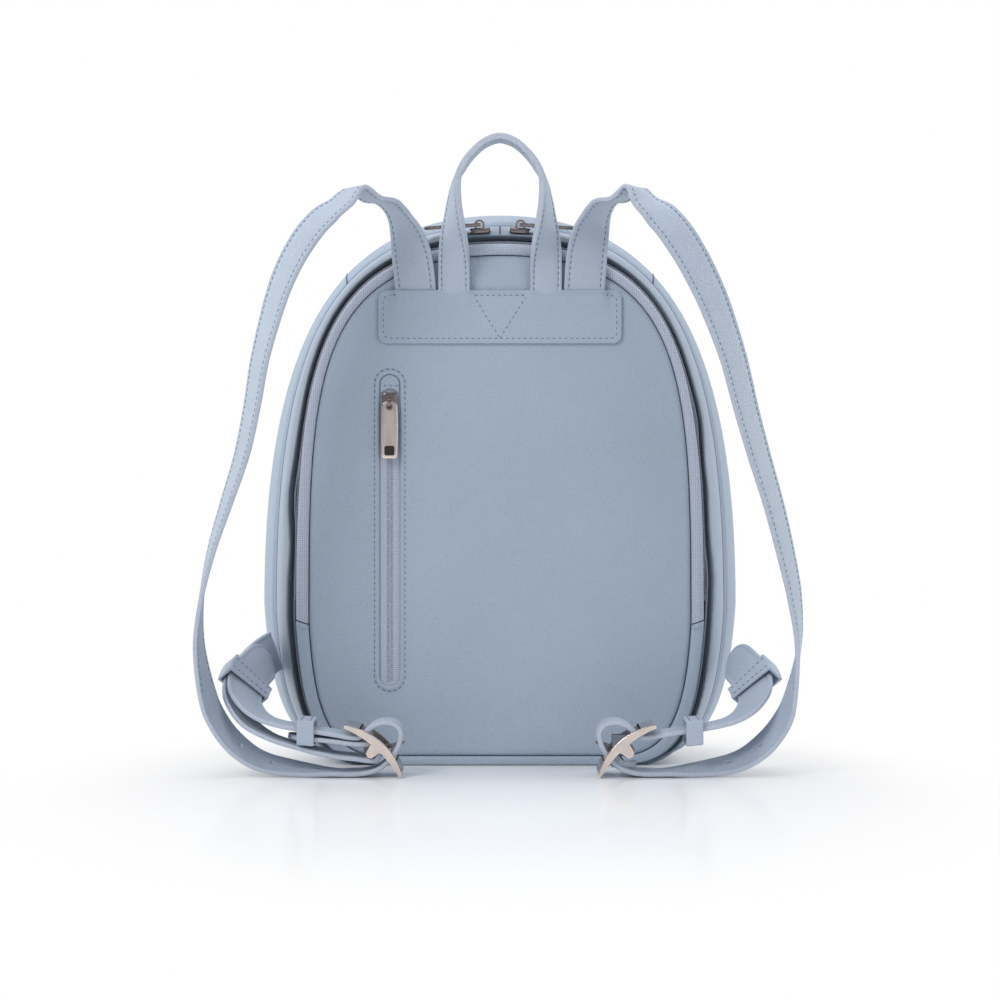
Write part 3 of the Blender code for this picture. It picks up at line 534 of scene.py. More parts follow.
# Slider from its nose to its tail. Columns: place and width as shares, drop of its face.
SLIDER_ROWS = (
    (-0.50, 0.50, 0.0006),
    (-0.46, 0.66, 0.0002),
    (-0.34, 0.86, 0.0),
    (0.30, 1.00, 0.0),
    (0.45, 0.90, 0.0001),
    (0.50, 0.76, 0.0005),
)

# Colours, linear.
PANEL_BLUE = (0.330, 0.402, 0.500)
RIM_BLUE = (0.325, 0.400, 0.500)
STRAP_BLUE = (0.375, 0.440, 0.540)
EDGE_TONE = (0.400, 0.440, 0.530)
THREAD_BLUE = (0.115, 0.155, 0.235)
# Painted shadow for the dark lines along the seams.
SEAM_BLUE = (0.060, 0.085, 0.160)
TAPE_TONE = (0.440, 0.495, 0.605)
COIL_TONE = (0.270, 0.290, 0.360)
METAL_TONE = (0.700, 0.610, 0.570)
DARK_TONE = (0.230, 0.200, 0.200)
# Painted shade: black for the pane in a pull's window, where the tape behind lies in shade.
WINDOW_SHADE_TONE = (0.012, 0.011, 0.012)

# The photograph's view, studio light and floor.
CAMERA_PLACE = (0.0, -1.300, 0.1425)
CAMERA_LENS = 90.0
CAMERA_SENSOR = 36.0
CAMERA_SHIFT = -0.020
FLOOR_COLOUR = (0.985, 0.985, 0.990)
FLOOR_ROUGHNESS = 0.16
# The floor fades out between two distances from a place ahead of the bag, sooner to the sides.
FLOOR_HALF = 6.0
FLOOR_CELLS = 24
FLOOR_STRETCH = (1.4, 1.0, 1.0)
FLOOR_SHIFT = (0.0, 0.15, 0.0)
FLOOR_NEAR = 0.12
FLOOR_FAR = 0.34
WORLD_COLOUR = (0.94, 0.96, 1.0)
WORLD_LIGHT = 0.45
# Columns: name, place, what it is aimed at, size, power in watts, colour.
LIGHTS = (
    ("key", (-1.00, -1.20, 1.30), (0.0, 0.0, 0.18), (0.7, 0.7), 17.0, (1.0, 0.985, 0.965)),
    ("fill", (1.15, -1.10, 0.60), (0.0, 0.0, 0.12), (0.9, 0.9), 4.5, (0.97, 0.985, 1.0)),
    ("top", (0.0, 0.10, 1.25), (0.0, 0.0, 0.20), (0.9, 0.6), 7.0, (1.0, 1.0, 1.0)),
    ("rim_left", (-1.05, 0.45, 0.55), (0.0, 0.0, 0.15), (0.5, 0.9), 5.0, (1.0, 1.0, 1.0)),
    ("rim_right", (1.05, 0.45, 0.55), (0.0, 0.0, 0.15), (0.5, 0.9), 5.0, (1.0, 1.0, 1.0)),
)


def smooth(mesh, angle):
    """Smooth shading but for edges sharper than the angle."""
    mesh.shade_smooth()
    mesh.set_sharp_from_angle(angle=math.radians(angle))


def linked(name, data):
    made = bpy.data.objects.new(name, data)
    bpy.context.scene.collection.objects.link(made)
    return made


def finish(name, mesh, finish_material, angle=35):
    """Wraps a mesh in an object with its material, smooth but for its sharp edges."""
    mesh.materials.append(finish_material)
    smooth(mesh, angle)
    return linked(name, mesh)


def upright(shape, y):
    """Points of an outline in x and z at one depth."""
    return [Vector((x, y, z)) for x, z in shape]


def closed_body(name, points, faces, finish_material, angle=35):
    mesh = bpy.data.meshes.new(name)
    mesh.from_pydata(points, [], faces)
    shape = bmesh.new()
    shape.from_mesh(mesh)
    bmesh.ops.recalc_face_normals(shape, faces=shape.faces)
    shape.to_mesh(mesh)
    shape.free()
    return finish(name, mesh, finish_material, angle)


def loft(name, sections, finish_material, angle=35, ring=False):
    """Joins closed sections of equal length, and caps the two ends unless they meet in a ring."""
    count = len(sections[0])
    points = [point for section in sections for point in section]
    faces = []
    spans = len(sections) if ring else len(sections) - 1
    for row in range(spans):
        first = row * count
        second = (row + 1) % len(sections) * count
        for column in range(count):
            after = (column + 1) % count
            faces.append((first + column, first + after, second + after, second + column))
    if not ring:
        faces.append(tuple(range(count)))
        faces.append(tuple(range(len(points) - count, len(points))))
    return closed_body(name, points, faces, finish_material, angle)


def mirrored(points, sign):
    """Points are worked out on the side of -X. The other side has them mirrored."""
    return [Vector((-sign * point.x, point.y, point.z)) for point in points]


def between(span, t):
    """The value at share t between the middle two of four values of a smooth curve."""
    a, b, c, d = span
    curved = (2 * a - 5 * b + 4 * c - d) * t * t + (3 * b - a - 3 * c + d) * t**3
    return 0.5 * (2 * b + (c - a) * t + curved)


def spline(rows, steps):
    """Rows of numbers along a smooth curve through the given rows."""
    padded = [rows[0], *rows, rows[-1]]
    out = []
    for index in range(len(rows) - 1):
        spans = tuple(zip(*padded[index : index + 4], strict=True))
        for step in range(steps):
            out.append(tuple(between(span, step / steps) for span in spans))
    out.append(tuple(rows[-1]))
    return out


def width_way(yaw, dip):
    """Width direction on the -X side: yaw turns it from inward to ahead, and dip lowers it."""
    yaw = math.radians(yaw)
    dip = math.radians(dip)
    return Vector((math.cos(yaw) * math.cos(dip), -math.sin(yaw) * math.cos(dip), -math.sin(dip)))


def path_frames(rows):
    """Point, tangent, width direction and face normal at each row of (x, y, z, yaw, dip)."""
    points = [Vector(row[:3]) for row in rows]
    out = []
    for index, row in enumerate(rows):
        tangent = points[min(index + 1, len(rows) - 1)] - points[max(index - 1, 0)]
        tangent.normalize()
        across = width_way(row[3], row[4])
        across -= across.dot(tangent) * tangent
        across.normalize()
        out.append((points[index], tangent, across, across.cross(tangent)))
    return out


def block(name, corners, finish_material, sign):
    """A box from eight corners: four low in order, then four high in the same order."""
    faces = [(0, 1, 2, 3), (4, 5, 6, 7), (0, 1, 5, 4), (1, 2, 6, 5), (2, 3, 7, 6), (3, 0, 4, 7)]
    return closed_body(name, mirrored(corners, sign), faces, finish_material)


def bezier(start, pull, push, end, steps):
    out = []
    for step in range(steps):
        t = step / steps
        s = 1 - t
        weights = (s**3, 3 * s * s * t, 3 * s * t * t, t**3)
        points = zip(weights, (start, pull, push, end), strict=True)
        shares = [(weight * x, weight * z) for weight, (x, z) in points]
        out.append(tuple(sum(column) for column in zip(*shares, strict=True)))
    return out


def mix(low, high, share):
    return low + (high - low) * share


def outline(flare, inset=0.0):
    """Outline in x and z: flare 0 is the back panel's, flare 1 is the rim's."""
    half = mix(PANEL_HALF, RIM_HALF, flare) - inset
    top = mix(PANEL_TOP, RIM_TOP, flare) - inset
    belly = mix(PANEL_BELLY, RIM_BELLY, flare)
    foot = mix(PANEL_FOOT, RIM_FOOT, flare)
    sole = PANEL_SOLE * max(0.0, 1 - flare / SEAM_FLARE) + inset
    crest = mix(1.0, RIM_CREST, flare) * half
    base = [(foot * step / BASE_STEPS, sole) for step in range(BASE_STEPS)]
    corner = bezier(
        (foot, sole),
        (mix(foot, half, FOOT_PULL), sole),
        (mix(half, foot, CORNER_EDGE), mix(sole, belly, CORNER_RISE)),
        (half, belly),
        CORNER_STEPS,
    )
    arch = bezier((half, belly), (half, mix(belly, top, ARCH_RISE)), (crest, top), (0.0, top), ARCH_STEPS)
    right = base + corner + arch
    left = [(-x, z) for x, z in reversed(right[1:])]
    return right + [(0.0, top)] + left


def outline_point(flare, place):
    """A point of the outline at a fractional step, counted from the middle of the base."""
    ring = outline(flare)
    index = math.floor(place)
    x0, z0 = ring[index % RING_STEPS]
    x1, z1 = ring[(index + 1) % RING_STEPS]
    return mix(x0, x1, place - index), mix(z0, z1, place - index)


def depth_at(share):
    return share * (FRONT_DEPTH if share > 0 else BACK_DEPTH)


def ring_points(share, flare):
    return [Vector((x, depth_at(share), z)) for x, z in outline(flare)]


def shell(name, rings, finish_material, cap=False):
    """A sewn wall through the rings, outer face first, with its thickness inward. A cap closes it."""
    count = len(rings[0])
    points = [point for ring in rings for point in ring]
    faces = []
    for row in range(len(rings) - 1):
        for column in range(count):
            after = (column + 1) % count
            low = row * count
            faces.append((low + column, low + after, low + count + after, low + count + column))
    if cap:
        last = len(points) - count
        centre = sum(rings[-1], Vector()) / count
        points.append(centre + Vector((0, centre.y * CAP_RISE, 0)))
        faces += [(last + c, last + (c + 1) % count, len(points) - 1) for c in range(count)]
    mesh = bpy.data.meshes.new(name)
    mesh.from_pydata(points, [], faces)
    shape = bmesh.new()
    shape.from_mesh(mesh)
    bmesh.ops.recalc_face_normals(shape, faces=shape.faces)
    middle = Vector((0, 0, PANEL_TOP / 2))
    if sum(face.normal.dot(face.calc_center_median() - middle) for face in shape.faces) < 0:
        bmesh.ops.reverse_faces(shape, faces=shape.faces)
    shape.to_mesh(mesh)
    shape.free()
    made = finish(name, mesh, finish_material, angle=80)
    wall = made.modifiers.new("wall", "SOLIDIFY")
    wall.thickness = SHOWN_WALL
    wall.offset = -1
    return made


def rounded(x_low, x_high, z_low, z_high, radius, steps=6):
    """Corners of an upright rectangle with rounded corners, in x and z."""
    out = []
    centres = ((x_high, z_high, 0), (x_low, z_high, 90), (x_low, z_low, 180), (x_high, z_low, 270))
    for x, z, start in centres:
        cx = x - math.copysign(radius, x - (x_low + x_high) / 2)
        cz = z - math.copysign(radius, z - (z_low + z_high) / 2)
        for step in range(steps + 1):
            angle = math.radians(start + 90 * step / steps)
            out.append((cx + radius * math.cos(angle), cz + radius * math.sin(angle)))
    return out


def plate(name, shape, y_near, y_far, finish_material):
    """An upright outline in x and z, extruded from one depth to the other."""
    return loft(name, [upright(shape, y_near), upright(shape, y_far)], finish_material)


def pin_place():
    """The buckle's pin stands where the lower end bar just clears the floor."""
    lean = math.radians(BUCKLE_LEAN)
    drop = math.sin(lean) * BUCKLE_LENGTH / 2 + math.cos(lean) * (BUCKLE_END / 2 - PIN_DROP)
    ahead = BACK_DEPTH + BUCKLE_AHEAD * STRAP_REACH
    return Vector((-PIN_OUT, -ahead, drop + GAP))


def buckle_point(inward, up):
    return pin_place() + Vector((inward, 0, up))


def buckle_share(inward, up):
    """A place inward and up from the pin, in shares of the buckle length."""
    return buckle_point(inward * BUCKLE_LENGTH, up * BUCKLE_LENGTH)


def strap_rows(turn, draw):
    """Rows of the shoulder strap from the yoke down to the floor."""
    rows = []
    for out, ahead, up, yaw, dip, turned, drawn in SHOULDER_STATIONS:
        x = -(STRAP_ROOT + (out - draw * drawn) * STRAP_SPREAD)
        y = -(BACK_DEPTH + ahead * STRAP_REACH)
        rows.append((x, y, up * STRAP_CROWN, yaw + turn * turned, dip))
    lay = -(BACK_DEPTH + GAP + STRAP_THICK / 2)
    rows[0] = (-STRAP_ROOT, lay, YOKE_HIGH + GAP, 0, 0)
    rows.insert(0, (-STRAP_ROOT, lay + GAP, YOKE_HIGH - ROOT_TUCK, 0, 0))
    return rows


def anchor_seam():
    """Where the anchor strap leaves the seam, found on the body's own ring at its height."""
    share, flare = GUSSET_RINGS[-1]
    ring = outline(flare)
    for (x0, z0), (x1, z1) in zip(ring, ring[1:], strict=False):
        if z0 <= ANCHOR_HEIGHT < z1:
            break
    side = mix(x0, x1, (ANCHOR_HEIGHT - z0) / (z1 - z0))
    return Vector((-side, depth_at(share), ANCHOR_HEIGHT))


def anchor_rows():
    """Rows of the anchor strap up to the pin, the turn round it and the ply that comes back."""
    seam = anchor_seam()
    pin = pin_place()
    rows = []
    for out, ahead, up, yaw, dip in ANCHOR_STATIONS:
        x = mix(seam.x, -ANCHOR_LOOP, out)
        y = mix(seam.y, pin.y, ahead)
        rows.append((x, y, seam.z * up, yaw, dip))
    for inward, up in PLY_IN:
        rows.append((*buckle_share(inward, up), 90, 0))
    radius = PIN_RADIUS + PRONG_THICK + 2 * GAP
    for step in range(TURN_STEPS + 1):
        angle = math.radians(-90 + 180 * step / TURN_STEPS)
        rows.append((*buckle_point(radius * math.cos(angle), radius * math.sin(angle)), 90, 0))
    for inward, up in PLY_BACK:
        rows.append((*buckle_share(inward, up), 90, 0))
    return rows


def tail_rows():
    """Rows of the strap's tail, which lies inside the anchor strap from one keeper to the other."""
    frames = path_frames(anchor_rows())
    rows = []
    for lift, index in zip(TAIL_LIFT, range(len(ANCHOR_STATIONS) - 1, -1, -1), strict=False):
        point, _, _, normal = frames[index]
        lifted = point + normal * (lift * STRAP_THICK)
        rows.append((*lifted, ANCHOR_STATIONS[index][3], ANCHOR_STATIONS[index][4]))
    return rows[: len(ANCHOR_STATIONS) - 1]


def shoulder_frames(turn, draw):
    rows = strap_rows(turn, draw)
    for inward, up in LOOP_STATIONS:
        rows.append((*buckle_share(inward, up), 90, 0))
    rows += tail_rows()
    frames = path_frames(spline(rows, FINE_STEPS))
    frames[0] = (frames[0][0], Vector((0, 0, 1)), Vector((1, 0, 0)), Vector((0, -1, 0)))
    return frames


def anchor_frames():
    return path_frames(spline(anchor_rows(), FINE_STEPS))


def nearest(frames, place):
    """The frame of a path that lies nearest a place."""
    return min(frames, key=lambda frame: (frame[0] - place).length)


def circle(middle, across, up, radius, steps):
    """Points round a circle that two directions span."""
    turns = [math.tau * step / steps for step in range(steps)]
    return [middle + (across * math.cos(turn) + up * math.sin(turn)) * radius for turn in turns]


def hole_cutter(name, frame, radius, finish_material, sign):
    point, tangent, across, normal = frame
    sections = []
    reach = 1.5 * STRAP_THICK
    for lift in (-reach, reach):
        ring = circle(point + normal * lift, tangent, across, radius, ROUND_STEPS)
        sections.append(mirrored(ring, sign))
    return loft(name, sections, finish_material)


def buckle_profile(steps):
    """Side view of the buckle in its own chord: along from the upper end, and out from the chord."""
    half = BUCKLE_LENGTH / 2
    outer = []
    inner = []
    lobe = PIN_RADIUS + LOBE_WALL
    for step in range(steps + 1):
        along = mix(-half, half, step / steps)
        swell = 1 - (along / half) ** 2
        middle = BUCKLE_RISE * swell
        thick = mix(BUCKLE_END, BUCKLE_MID, swell) / 2
        outer.append((along, middle + thick))
        if abs(along) > lobe:
            inner.append((along, middle - thick))
    under = [(lobe * math.cos(a), -PIN_DROP + lobe * math.sin(a)) for a in (-2.5, -1.57, -0.64)]
    left = [point for point in inner if point[0] < 0]
    right = [point for point in inner if point[0] > 0]
    return outer + right[::-1] + under[::-1] + left[::-1]


def chord_point(along, out, y):
    """A point of the buckle's chord in world space, on the -X side."""
    lean = math.radians(BUCKLE_LEAN)
    chord = Vector((math.cos(lean), 0, -math.sin(lean)))
    rise = Vector((math.sin(lean), 0, math.cos(lean)))
    point = pin_place() + chord * along + rise * (out + PIN_DROP)
    point.y = y
    return point


def polar(radius, degrees):
    return radius * math.cos(math.radians(degrees)), radius * math.sin(math.radians(degrees))


def sleeve(name, frames, low, high, finish_material, sign):
    """A keeper round the plies, from a low to a high distance from the path, that follows the path."""
    half = STRAP_WIDTH / 2 + KEEPER_PLAY
    points = []
    for point, _, across, normal in frames:
        for wall in (0.0, KEEPER_WALL):
            for side, up in ((1, low - wall), (1, high + wall), (-1, high + wall), (-1, low - wall)):
                points.append(point + across * side * (half + wall) + normal * up)
    corners = 4
    around = 2 * corners
    faces = []
    for row in range(len(frames) - 1):
        for first in (row * around, row * around + corners):
            for corner in range(corners):
                here, after = first + corner, first + (corner + 1) % corners
                faces.append((here, after, after + around, here + around))
    for first in (0, (len(frames) - 1) * around):
        for corner in range(corners):
            here, after = first + corner, first + (corner + 1) % corners
            faces.append((here, after, after + corners, here + corners))
    return closed_body(name, mirrored(points, sign), faces, finish_material)


def placed(points, place, turn):
    return [place + turn @ point for point in points]


def main_seat():
    """Depth and height of the main sliders' seat, on the gusset's slope at the top."""
    y = MAIN_SEAT_BEHIND - BACK_DEPTH
    share = y / BACK_DEPTH
    for (near, low), (far, high) in zip(GUSSET_RINGS, GUSSET_RINGS[1:], strict=False):
        if near <= share <= far:
            break
    flare = mix(low, high, (share - near) / (far - near))
    return y, mix(PANEL_TOP, RIM_TOP, flare) + MAIN_SEAT_LIFT


def settle(piece, body, slot, *nodes):
    """Hides the nodes that a piece stands for and attaches the piece to the body that it rides on. The slot
    is not used.
    """
    if nodes:
        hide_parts(*nodes)
    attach(piece, body)
    return piece


def applied(target):
    """Bakes the modifiers into the mesh."""
    bpy.context.view_layer.update()
    graph = bpy.context.evaluated_depsgraph_get()
    mesh = bpy.data.meshes.new_from_object(target.evaluated_get(graph))
    target.modifiers.clear()
    target.data = mesh
    return target


def cut(target, cutter, operation="DIFFERENCE"):
    """Takes the cutter's shape out of the target, or joins it on, and removes the cutter."""
    made = target.modifiers.new("cut", "BOOLEAN")
    made.operation = operation
    made.solver = "EXACT"
    made.object = cutter
    applied(target)
    bpy.data.objects.remove(cutter, do_unlink=True)


def soften(target, width, segments=3, angle=32):
    """Rounds the edges of a hard or folded piece."""
    edges = target.modifiers.new("edges", "BEVEL")
    edges.width = width
    edges.segments = segments
    edges.limit_method = "ANGLE"
    edges.angle_limit = math.radians(angle)
    applied(target)
    smooth(target.data, angle=75)
    even = target.modifiers.new("even", "WEIGHTED_NORMAL")
    even.keep_sharp = True
    return target


def grid_cut(target, pitch):
    """Divides a mesh along upright and level planes, so that its flat faces can be shaped."""
    shape = bmesh.new()
    shape.from_mesh(target.data)
    for axis in (0, 2):
        low = min(v.co[axis] for v in shape.verts)
        high = max(v.co[axis] for v in shape.verts)
        steps = int((high - low) / pitch)
        for step in range(1, steps):
            place = Vector()
            place[axis] = mix(low, high, step / steps)
            normal = Vector()
            normal[axis] = 1.0
            everything = shape.verts[:] + shape.edges[:] + shape.faces[:]
            bmesh.ops.bisect_plane(shape, geom=everything, plane_co=place, plane_no=normal)
    shape.to_mesh(target.data)
    shape.free()


def bell(value, middle, width):
    return math.exp(-(((value - middle) / width) ** 2))


def smooth_step(low, high, value):
    share = min(1.0, max(0.0, (value - low) / (high - low)))
    return share * share * (3 - 2 * share)


def node(tree, kind, **inputs):
    made = tree.nodes.new(kind)
    for name, value in inputs.items():
        made.inputs[name.replace("_", " ")].default_value = value
    return made


def ramp(tree, source, low, high, dark, light):
    """A ramp from one colour to another between two values of its source."""
    made = tree.nodes.new("ShaderNodeValToRGB")
    made.color_ramp.elements[0].position = low
    made.color_ramp.elements[1].position = high
    made.color_ramp.elements[0].color = (*dark, 1)
    made.color_ramp.elements[1].color = (*light, 1)
    tree.links.new(source, made.inputs["Fac"])
    return made.outputs["Color"]


def grey(value):
    return (value, value, value)


def times(colour, share):
    return tuple(channel * share for channel in colour)


def base_material(name, roughness, metallic=0.0):
    made = bpy.data.materials.new(name)
    made.use_nodes = True
    shader = made.node_tree.nodes["Principled BSDF"]
    shader.inputs["Roughness"].default_value = roughness
    shader.inputs["Metallic"].default_value = metallic
    where = made.node_tree.nodes.new("ShaderNodeTexCoord").outputs["Object"]
    return made, made.node_tree, shader, where


def noise(tree, where, scale, detail):
    made = node(tree, "ShaderNodeTexNoise", Scale=scale, Detail=detail)
    tree.links.new(where, made.inputs["Vector"])
    return made.outputs


def multiplied(tree, first, second):
    """The product of two colours."""
    mixed = tree.nodes.new("ShaderNodeMix")
    mixed.data_type = "RGBA"
    mixed.blend_type = "MULTIPLY"
    mixed.inputs["Factor"].default_value = 1.0
    tree.links.new(first, mixed.inputs["A"])
    tree.links.new(second, mixed.inputs["B"])
    return mixed.outputs["Result"]


def smooth_range(tree, value, low, high):
    """A smooth rise from 0 to 1 between two values of its source."""
    made = tree.nodes.new("ShaderNodeMapRange")
    made.interpolation_type = "SMOOTHSTEP"
    made.inputs["From Min"].default_value = low
    made.inputs["From Max"].default_value = high
    tree.links.new(value, made.inputs["Value"])
    return made


def bump(tree, shader, height, distance, strength, under=None):
    made = tree.nodes.new("ShaderNodeBump")
    made.inputs["Distance"].default_value = distance
    made.inputs["Strength"].default_value = strength
    tree.links.new(height, made.inputs["Height"])
    if under is not None:
        tree.links.new(under, made.inputs["Normal"])
    tree.links.new(made.outputs["Normal"], shader.inputs["Normal"])
    return made.outputs["Normal"]


def leather(name, colour, pebble=0.00105, depth=0.00015, roughness=0.50):
    """Pebbled leather: rounded cells with fine creases, soft tone changes and an uneven gloss."""
    made, tree, shader, where = base_material(name, roughness)
    link = tree.links.new
    warp = noise(tree, where, scale=0.35 / pebble, detail=3.0)
    shift = tree.nodes.new("ShaderNodeVectorMath")
    shift.operation = "MULTIPLY_ADD"
    link(warp["Color"], shift.inputs[0])
    shift.inputs[1].default_value = grey(0.9 * pebble)
    link(where, shift.inputs[2])
    cells = node(tree, "ShaderNodeTexVoronoi", Scale=1 / pebble)
    cells.feature = "DISTANCE_TO_EDGE"
    link(shift.outputs["Vector"], cells.inputs["Vector"])
    pores = noise(tree, where, scale=2.6 / pebble, detail=2.0)
    domes = ramp(tree, cells.outputs["Distance"], 0.0, 0.34, grey(0.0), grey(1.0))
    coarse = bump(tree, shader, domes, depth, strength=0.85)
    bump(tree, shader, pores["Fac"], depth * 0.45, strength=0.6, under=coarse)
    tone = noise(tree, where, scale=9.0, detail=4.0)["Fac"]
    broad = ramp(tree, tone, 0.34, 0.68, times(colour, 0.955), times(colour, 1.035))
    creases = ramp(tree, cells.outputs["Distance"], 0.0, 0.16, grey(0.86), grey(1.0))
    link(multiplied(tree, broad, creases), shader.inputs["Base Color"])
    low, high = grey(roughness - 0.06), grey(roughness + 0.08)
    link(ramp(tree, tone, 0.3, 0.7, low, high), shader.inputs["Roughness"])
    shader.inputs["Specular IOR Level"].default_value = 0.42
    shader.inputs["Sheen Weight"].default_value = 0.12
    shader.inputs["Sheen Roughness"].default_value = 0.5
    return made


def valley_shade(made):
    """Painted shade: darkens the gusset's leather toward the fold beside the zip, where shade falls, more
    on the left than on the right.
    """
    tree = made.node_tree
    shader = tree.nodes["Principled BSDF"]
    colour = shader.inputs["Base Color"].links[0].from_socket
    where = tree.nodes.new("ShaderNodeTexCoord").outputs["Object"]
    parts = tree.nodes.new("ShaderNodeSeparateXYZ")
    tree.links.new(where, parts.inputs["Vector"])
    side = tree.nodes.new("ShaderNodeMapRange")
    for key, value in zip(("From Min", "From Max", "To Min", "To Max"), SHADE_SIDES, strict=True):
        side.inputs[key].default_value = value
    tree.links.new(parts.outputs["X"], side.inputs["Value"])
    depth = smooth_range(tree, parts.outputs["Y"], *SHADE_DEPTHS)
    tree.links.new(side.outputs["Result"], depth.inputs["To Min"])
    shaded = multiplied(tree, colour, depth.outputs["Result"])
    tree.links.new(shaded, shader.inputs["Base Color"])
    return made


def textile(name, colour, pitch=0.00046):
    """Woven tape: warp and weft ribs that cross, with fibres over them."""
    made, tree, shader, where = base_material(name, 0.85)
    ribs = []
    for direction in ("X", "Z"):
        rib = node(tree, "ShaderNodeTexWave", Scale=0.157 / pitch, Distortion=1.2, Detail=1.0)
        rib.bands_direction = direction
        tree.links.new(where, rib.inputs["Vector"])
        ribs.append(rib.outputs["Fac"])
    cross = tree.nodes.new("ShaderNodeMath")
    cross.operation = "MULTIPLY"
    for index, rib in enumerate(ribs):
        tree.links.new(rib, cross.inputs[index])
    fibre = noise(tree, where, scale=2600.0, detail=3.0)["Fac"]
    woven = bump(tree, shader, cross.outputs["Value"], distance=0.00022, strength=0.9)
    bump(tree, shader, fibre, distance=0.00008, strength=0.6, under=woven)
    shade = ramp(tree, cross.outputs["Value"], 0.02, 0.55, times(colour, 0.70), times(colour, 1.16))
    tree.links.new(shade, shader.inputs["Base Color"])
    shader.inputs["Sheen Weight"].default_value = 0.25
    return made


def polished(name, colour, roughness):
    """Polished metal with faint wiping marks and slow changes of gloss."""
    made, tree, shader, where = base_material(name, roughness, 1.0)
    tone = noise(tree, where, scale=140.0, detail=4.0)["Fac"]
    shade = ramp(tree, tone, 0.35, 0.65, times(colour, 0.93), times(colour, 1.04))
    tree.links.new(shade, shader.inputs["Base Color"])
    marks = tree.nodes.new("ShaderNodeMapping")
    marks.inputs["Scale"].default_value = (900.0, 900.0, 60.0)
    tree.links.new(where, marks.inputs["Vector"])
    wiped = noise(tree, marks.outputs["Vector"], scale=1.0, detail=2.0)["Fac"]
    rough = ramp(tree, wiped, 0.3, 0.7, grey(roughness * 0.85), grey(roughness * 1.2))
    tree.links.new(rough, shader.inputs["Roughness"])
    return made


def plain(name, colour, roughness, grain=900.0, depth=0.00004):
    """A fine-grained finish for thread, cut edges, coil, and the black of painted shade in the pulls'
    windows.
    """
    made, tree, shader, where = base_material(name, roughness)
    fine = noise(tree, where, scale=grain, detail=3.0)["Fac"]
    shade = ramp(tree, fine, 0.3, 0.7, times(colour, 0.90), times(colour, 1.08))
    tree.links.new(shade, shader.inputs["Base Color"])
    bump(tree, shader, fine, depth, strength=0.5)
    rough = ramp(tree, fine, 0.3, 0.7, grey(roughness * 0.8), grey(roughness * 1.25))
    tree.links.new(rough, shader.inputs["Roughness"])
    return made


def strap_section():
    """Cross section of a stitched strap: places as shares of the half width and half thickness."""
    top = list(STRAP_SECTION) + [(-x, up) for x, up in reversed(STRAP_SECTION[:-1])]
    return top + [(-x, -up) for x, up in top]


def ribbon(name, frames, width, thick, face, edge, sign, tip=False):
    """A strap with soft edges, pressed stitch lines and a paler cut edge."""
    left = 0.0
    ends = [0.0] * len(frames)
    for index in range(len(frames) - 2, -1, -1):
        left += (frames[index + 1][0] - frames[index][0]).length
        ends[index] = left
    section = strap_section()
    sections = []
    for (point, _, across, normal), to_end in zip(frames, ends, strict=True):
        half = width / 2
        if tip and to_end < half:
            half *= max(TIP_LEAST, math.sqrt(max(0.0, 1 - (1 - to_end / half) ** 2)))
        ring = [point + across * (x * half) + normal * (up * thick / 2) for x, up in section]
        sections.append(mirrored(ring, sign))
    made = loft(name, sections, face, angle=60)
    made.data.materials.append(edge)
    count = len(section)
    middle = count // 2
    cut_edge = {0, middle - 2, middle - 1, middle, count - 2, count - 1}
    for polygon in made.data.polygons[: (len(frames) - 1) * count]:
        if polygon.index % count in cut_edge:
            polygon.material_index = 1
    return made


def stitch(points, faces, middle, way, normal, length, radius):
    """One stitch of thread, which rises from the surface and dips back into it."""
    side = way.cross(normal).normalized()
    first = len(points)
    for along, lift, size in STITCH_ROWS:
        centre = middle + way * (along * length) + normal * (lift * radius)
        points += circle(centre, side, normal, radius * size, STITCH_SIDES)
    last = first + (len(STITCH_ROWS) - 1) * STITCH_SIDES
    for low in range(first, last, STITCH_SIDES):
        high = low + STITCH_SIDES
        for step in range(STITCH_SIDES):
            after = (step + 1) % STITCH_SIDES
            faces.append((low + step, low + after, high + after, high + step))
    faces.append(tuple(first + step for step in range(STITCH_SIDES))[::-1])
    faces.append(tuple(last + step for step in range(STITCH_SIDES)))


def sewn(name, runs, thread, slot, pitch=STITCH_PITCH, length=STITCH_LENGTH, radius=STITCH_RADIUS):
    """Stitches along runs of (point, normal), joined as one piece of thread."""
    points = []
    faces = []
    for run in runs:
        reach = pitch / 2
        for (start, lift), (end, _) in zip(run, run[1:], strict=False):
            span = (end - start).length
            way = (end - start).normalized() if span else Vector((0, 0, 1))
            while reach < span:
                stitch(points, faces, start + way * reach, way, lift, length, radius)
                reach += pitch
            reach -= span
    made = closed_body(name, points, faces, thread, angle=60)
    return settle(made, "bag", slot)


def strap_stitches(name, frames, width, thick, sign, thread, start=0, stop=None):
    """Two lines of stitches on each face of a strap."""
    runs = []
    for face in (1, -1):
        for edge in (1, -1):
            line = []
            for point, _, across, normal in frames[start:stop]:
                lift = normal * face
                place = point + across * (edge * STITCH_SHARE * width / 2) + lift * (thick * STITCH_LIFT)
                place, shown = mirrored([place, lift], sign)
                line.append((place, shown))
            runs.append(line)
    return sewn(name, runs, thread, "strap_leather")


def dented_ring(share, flare, inset):
    """A ring of the gusset with its soft dents, and raised at the base by the inset."""
    here = [Vector((x, depth_at(share), z)) for x, z in outline(flare, inset)]
    wider = ring_points(share, flare + DENT_FLARE)
    reach = bell(share, DENT_SHARE, DENT_DEPTH)
    out = []
    for point, outer in zip(here, wider, strict=True):
        push = 0.0
        for side, height, size, depth in DENTS:
            if side * point.x > 0:
                push += depth * bell(point.z, height, size)
        out.append(point + (outer - point) * (push * reach))
    return out


